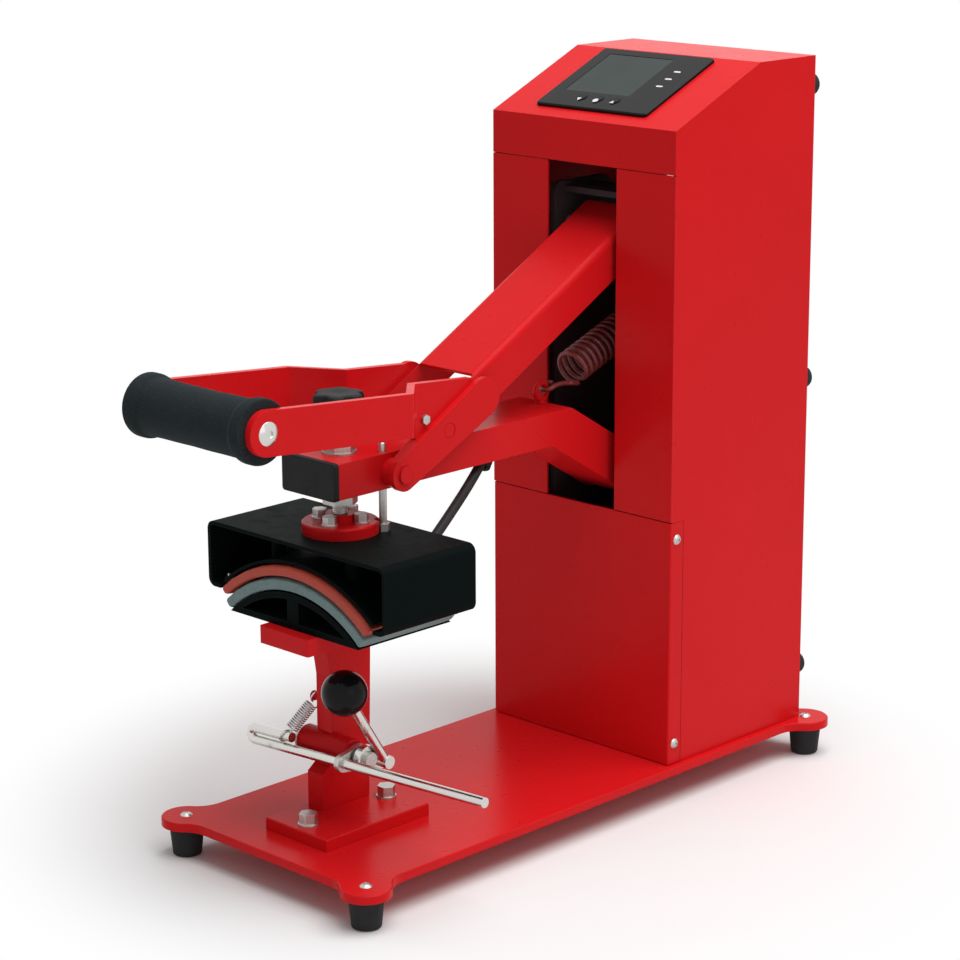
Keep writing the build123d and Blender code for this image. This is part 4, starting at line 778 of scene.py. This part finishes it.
class PRESS_OT_pads(bpy.types.Operator):
    """Make the grey foam and orange rubber pads on the curved form"""

    bl_idname = "press.pads"
    bl_label = "Form pads"

    def execute(self, context):
        size = context.scene.press_pads
        foam = (size.foam_inner, size.foam_outer, size.foam_angle)
        rubber = (size.rubber_inner, size.rubber_outer, size.rubber_angle)
        for name, node, slot, make, arc_sizes in (
            ("form_foam", "foam_pad", "grey_foam", pad_foam, foam),
            ("form_rubber", "silicone_pad", "red_silicone", pad_rubber, rubber),
        ):
            low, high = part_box(node)
            ends = (low.y, high.y)
            pad = arc_pad(name, *arc_sizes, ends, size.axis_z, size.edge, finish(make))
            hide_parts(node)
        return {"FINISHED"}


class PRESS_OT_pressure_screw(bpy.types.Operator):
    """Make the threaded pressure screw and its star knob"""

    bl_idname = "press.pressure_screw"
    bl_label = "Pressure screw"

    def execute(self, context):
        size = context.scene.press_screw
        low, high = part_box("pressure_screw")
        radius = (high.x - low.x) / 2
        middle = (low + high) / 2
        turns = (high.z - low.z) / size.pitch
        z = np.linspace(low.z, high.z, int(turns * THREAD_STEPS))
        angle = np.linspace(0, 2 * math.pi, SCREW_SIDES, endpoint=False)
        phase = (z[:, None] / size.pitch - angle[None, :] / (2 * math.pi)) % 1
        ridge = 1 - np.abs(2 * phase - 1)
        point = np.clip((high.z - z) / 0.002, 0.75, 1)[:, None]
        r = (radius - size.depth * (1 - ridge)) * point
        x, y = middle.x + r * np.cos(angle), middle.y + r * np.sin(angle)
        grid = np.stack([x, y, np.broadcast_to(z[:, None], r.shape)], -1)
        screw = grid_piece("threaded_stem", grid, finish(zinc), "pressure_screw")
        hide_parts("pressure_screw")

        low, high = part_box("star_knob")
        middle = (low + high) / 2
        reach = (high.x - low.x) / 2
        hub, hub_top = 0.0100, low.z + 0.008
        profile = np.array(
            [
                (low.z, 0.0061),
                (low.z, hub),
                (hub_top, hub),
                (hub_top, reach - 0.002),
                (hub_top + 0.0015, reach),
                (high.z - 0.004, reach),
                (high.z - 0.001, reach - 0.0012),
                (high.z, reach - 0.004),
                (high.z, 0.001),
            ]
        )
        z, r = profile.T
        run = np.concatenate([[0], np.cumsum(np.hypot(np.diff(z), np.diff(r)))])
        s = np.linspace(0, run[-1], KNOB_STEPS)
        z, r = soften(np.interp(s, run, z), 7), soften(np.interp(s, run, r), 7)
        angle = np.linspace(0, 2 * math.pi, KNOB_SIDES, endpoint=False)
        dip = (0.5 - 0.5 * np.cos(size.lobes * (angle - math.radians(12)))) ** 1.6
        share = np.clip((r - hub) / (reach - hub), 0, 1)[:, None] ** 1.5
        rr = r[:, None] - size.lobe_depth * dip[None, :] * share
        dish = 0.0012 * np.exp(-((r / 0.007) ** 2)) * (z > hub_top)
        x, y = middle.x + rr * np.cos(angle), middle.y + rr * np.sin(angle)
        grid = np.stack([x, y, np.broadcast_to((z - dish)[:, None], rr.shape)], -1)
        knob = grid_piece("lobed_knob", grid, finish(dull_moulding), "pressure_screw")
        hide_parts("star_knob")
        return {"FINISHED"}


class PRESS_OT_ball_knob(bpy.types.Operator):
    """Make the clamp lever's ball with its flat and collar"""

    bl_idname = "press.ball_knob"
    bl_label = "Ball knob"

    def execute(self, context):
        low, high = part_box("ball_knob")
        middle = np.array((low + high) / 2)
        radius = (high.y - low.y) / 2
        foot_low, foot_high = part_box("clamp_lever")
        foot = np.array([middle[0], foot_high.y - 0.006, foot_low.z + 0.006])
        axis = unit(middle - foot)
        side = np.array([1.0, 0, 0])
        other = np.cross(axis, side)
        facets = context.scene.press_grip.ball_facets
        tilt = np.linspace(math.radians(24), math.pi, facets // 2 + 1)[:-1]
        r = np.concatenate([[0.0045, 0.0062], radius * np.sin(tilt)])
        h = np.concatenate([[-radius * 0.96, -radius * 0.96], -radius * np.cos(tilt)])
        angle = np.linspace(0, 2 * math.pi, facets, endpoint=False)[None, :, None]
        ring = np.cos(angle) * side + np.sin(angle) * other
        grid = middle + h[:, None, None] * axis + r[:, None, None] * ring
        ball = grid_piece("lever_ball", grid, finish(gloss_moulding), "brim_clamp")
        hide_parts("ball_knob")
        return {"FINISHED"}


class PRESS_OT_key_marks(bpy.types.Operator):
    """Print a plain mark on each key of the controller"""

    bl_idname = "press.key_marks"
    bl_label = "Key marks"

    def execute(self, context):
        slope_low, slope_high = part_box("display_window")
        up = unit([0, slope_high.y - slope_low.y, slope_high.z - slope_low.z])
        across = np.array([1.0, 0, 0])
        for node, body, sides, turn in (
            ("button_down", "down_key", 3, -0.25),
            ("button_set", "set_key", 24, 0.0),
            ("button_up", "up_key", 3, 0.25),
        ):
            low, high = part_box(node)
            verts = np.array([v.co for v in NODES[node].data.vertices])
            normal = unit(np.cross(across, up))
            top = verts[(verts @ normal) > (verts @ normal).max() - 1e-5].mean(0)
            angle = 2 * math.pi * (np.linspace(0, 1, sides, endpoint=False) + turn)[None, :, None]
            size = np.array([0.0001, MARK_SIZE, MARK_SIZE, 0.0001])[:, None, None]
            lift = np.array([-0.0003, -0.0003, 0.00008, 0.00008])[:, None, None]
            grid = top + lift * normal + size * (np.cos(angle) * across + np.sin(angle) * up)
            mark = grid_piece(node + "_mark", grid, finish(white_print), body)
            mark.data.polygons.foreach_set("use_smooth", np.zeros(len(mark.data.polygons), bool))
        return {"FINISHED"}


class PRESS_OT_paintwork(bpy.types.Operator):
    """Paint the sheet metal, the arms, the stand and the heater cover"""

    bl_idname = "press.paintwork"
    bl_label = "Paintwork"

    def execute(self, context):
        coat(
            red_enamel,
            "base_plate",
            "tower_shell",
            "front_frame",
            "lower_front_panel",
            "rear_cover",
            "stand_foot",
            "stand_post",
            "stand_bar",
            "clamp_tube",
            "lower_arm_front",
            "lower_arm_rear",
            "handle_arm_left",
            "handle_arm_right",
            "toggle_plates",
            "toggle_link",
            "head_flange",
            "arm_pivots",
            "link_pins",
            "spring_eye",
        )
        coat(black_enamel, "heater_cover", "lower_form", "heater_block", "block_hangers")
        # The uprights and their tie are given near-black painted shade, for the dark inside of the
        # tower.
        coat(painted_shade_and_dust, "uprights", "upright_tie")
        return {"FINISHED"}


class PRESS_OT_hardware(bpy.types.Operator):
    """Finish the bolts, pins and rods"""

    bl_idname = "press.hardware"
    bl_label = "Hardware"

    def execute(self, context):
        coat(
            zinc,
            "foot_screws",
            "panel_screws",
            "pivot_pins",
            "stand_bolts",
            "screw_nuts",
            "lever_bolts",
            "grip_bar",
            "flange_bolts",
            "guide_rod",
            "cover_screws",
            "clamp_shaft",
        )
        coat(chrome, "grip_screws", "clamp_rod", "clamp_lever")
        return {"FINISHED"}


class PRESS_OT_mouldings(bpy.types.Operator):
    """Finish the rubber feet, the controller, the inlet and the switch"""

    bl_idname = "press.mouldings"
    bl_label = "Mouldings"

    def execute(self, context):
        coat(foot_rubber, "rubber_feet", "rear_bumpers", "cable_gland")
        coat(gloss_moulding, "controller_bezel", "rocker_switch")
        coat(dull_moulding, "arm_end_plug", "power_entry", "button_down", "button_set", "button_up")
        coat(screen_glass, "display_window")
        coat(white_print, "indicator_lights")
        return {"FINISHED"}


# ---------------------------------------------------------------------------- stage
def seen_white(name, shade, strength):
    """A world that lights evenly and shows white to the camera and in reflections."""
    world = bpy.data.worlds.new(name)
    world.use_nodes = True
    tree = world.node_tree
    tree.nodes.clear()
    path = tree.nodes.new("ShaderNodeLightPath")
    seen = path.outputs["Is Camera Ray"]
    for kind in ("Is Glossy Ray", "Is Transmission Ray"):
        add = tree.nodes.new("ShaderNodeMath")
        add.operation = "ADD"
        add.use_clamp = True
        tree.links.new(seen, add.inputs[0])
        tree.links.new(path.outputs[kind], add.inputs[1])
        seen = add.outputs[0]
    light = tree.nodes.new("ShaderNodeBackground")
    light.inputs["Color"].default_value = (*shade, 1)
    light.inputs["Strength"].default_value = strength
    white = tree.nodes.new("ShaderNodeBackground")
    white.inputs["Color"].default_value = (1, 1, 1, 1)
    white.inputs["Strength"].default_value = 1.0
    mix = tree.nodes.new("ShaderNodeMixShader")
    output = tree.nodes.new("ShaderNodeOutputWorld")
    tree.links.new(seen, mix.inputs[0])
    tree.links.new(light.outputs[0], mix.inputs[1])
    tree.links.new(white.outputs[0], mix.inputs[2])
    tree.links.new(mix.outputs[0], output.inputs["Surface"])
    return world


def pale_floor(size):
    """Pale floor that takes the object's shadow near it and turns plain white farther off."""
    f = Finish("pale_floor", roughness=0.9, specular_ior_level=0.0)
    f.colour(f.blend(f.noise(3.0), (0.88, 0.88, 0.88), (0.91, 0.91, 0.91)))
    away = f.node("ShaderNodeVectorMath", {"operation": "LENGTH"}, {0: f.place}, "Value")
    seen = f.node("ShaderNodeLightPath", out="Is Camera Ray")
    for kind in ("Is Glossy Ray", "Is Transmission Ray"):
        seen = seen + f.node("ShaderNodeLightPath", out=kind)
    far = away.above(size.shade_near, size.shade_far - size.shade_near) * seen
    white = f.node("ShaderNodeEmission", None, {"Color": (1.0, 1.0, 1.0), "Strength": 1.0})
    surface = next(n for n in f.tree.nodes if n.type == "OUTPUT_MATERIAL").inputs["Surface"]
    near = Value(f, f.shader.outputs["BSDF"])
    f.join(surface, f.node("ShaderNodeMixShader", None, {0: far, 1: near, 2: white}))
    return f.material


def soft_light(name, place, target, width, power):
    data = bpy.data.lights.new(name, "AREA")
    data.shape = "SQUARE"
    data.size = width
    data.energy = power
    lamp = bpy.data.objects.new(name, data)
    lamp.location = place
    lamp.rotation_euler = (Vector(target) - Vector(place)).to_track_quat("-Z", "Y").to_euler()
    bpy.context.scene.collection.objects.link(lamp)


class PRESS_OT_stage(bpy.types.Operator):
    """Set the pale floor, the soft studio light and the camera"""

    bl_idname = "press.stage"
    bl_label = "Stage"

    def execute(self, context):
        scene = context.scene
        size = scene.press_stage
        scene.view_settings.view_transform = "Standard"
        scene.world = seen_white("studio", (1.0, 1.0, 1.0), size.sky)
        half = size.floor / 2
        ticks = np.linspace(-half, half, 9)
        x, y = np.meshgrid(ticks, ticks, indexing="ij")
        grid = np.stack([x, y, np.full_like(x, -0.0005)], -1)
        floor = grid_piece("pale_floor", grid, pale_floor(size), around=False, ends=False)
        soft_light("overhead", (0.7, 0.2, 2.6), (0, 0, 0.3), 2.4, size.top_light)
        soft_light("side_fill", (2.8, -0.6, 1.2), (0, 0, 0.3), 1.6, size.top_light * 0.05)

        turn, tip, roll = (math.radians(v) for v in (size.turn, size.tip, size.roll))
        flat = math.cos(tip)
        ahead = Vector((-math.sin(turn) * flat, math.cos(turn) * flat, -math.sin(tip)))
        right = Vector((math.cos(turn), math.sin(turn), 0))
        above = right.cross(ahead)
        right, above = (
            math.cos(roll) * right + math.sin(roll) * above,
            math.cos(roll) * above - math.sin(roll) * right,
        )
        data = bpy.data.cameras.new("camera")
        data.lens = size.lens
        data.sensor_width = 36.0
        data.clip_end = 100.0
        camera = bpy.data.objects.new("camera", data)
        scene.collection.objects.link(camera)
        turned = Matrix((right, above, -ahead)).transposed().to_4x4()
        camera.matrix_world = Matrix.Translation(size.camera) @ turned
        scene.camera = camera
        return {"FINISHED"}


SIZES = {
    "press_return_spring": ReturnSpringSizes,
    "press_clamp_spring": ClampSpringSizes,
    "press_cable": CableSizes,
    "press_grip": GripSizes,
    "press_pads": PadSizes,
    "press_screw": ScrewSizes,
    "press_paint": PaintColours,
    "press_stage": StageSizes,
}
STEPS = (
    PRESS_OT_heater_cable,
    PRESS_OT_springs,
    PRESS_OT_foam_grip,
    PRESS_OT_pads,
    PRESS_OT_pressure_screw,
    PRESS_OT_ball_knob,
    PRESS_OT_key_marks,
    PRESS_OT_paintwork,
    PRESS_OT_hardware,
    PRESS_OT_mouldings,
    PRESS_OT_stage,
)


class PRESS_PT_panel(bpy.types.Panel):
    """Lists the press's pieces in the sidebar"""

    bl_label = "Cap heat press"
    bl_idname = "PRESS_PT_panel"
    bl_space_type = "VIEW_3D"
    bl_region_type = "UI"
    bl_category = "Press"

    def draw(self, context):
        for step in STEPS:
            self.layout.operator(step.bl_idname)
        for name in SIZES:
            box = self.layout.box()
            group = getattr(context.scene, name)
            for key in group.__annotations__:
                box.prop(group, key)


def register():
    for name, group in SIZES.items():
        bpy.utils.register_class(group)
        setattr(bpy.types.Scene, name, bpy.props.PointerProperty(type=group))
    for step in STEPS:
        bpy.utils.register_class(step)
    bpy.utils.register_class(PRESS_PT_panel)


def unregister():
    bpy.utils.unregister_class(PRESS_PT_panel)
    for step in reversed(STEPS):
        bpy.utils.unregister_class(step)
    for name, group in SIZES.items():
        delattr(bpy.types.Scene, name)
        bpy.utils.unregister_class(group)


def main():
    register()
    for step in STEPS:
        category, name = step.bl_idname.split(".")
        getattr(getattr(bpy.ops, category), name)()


if __name__ == "__main__":
    main()
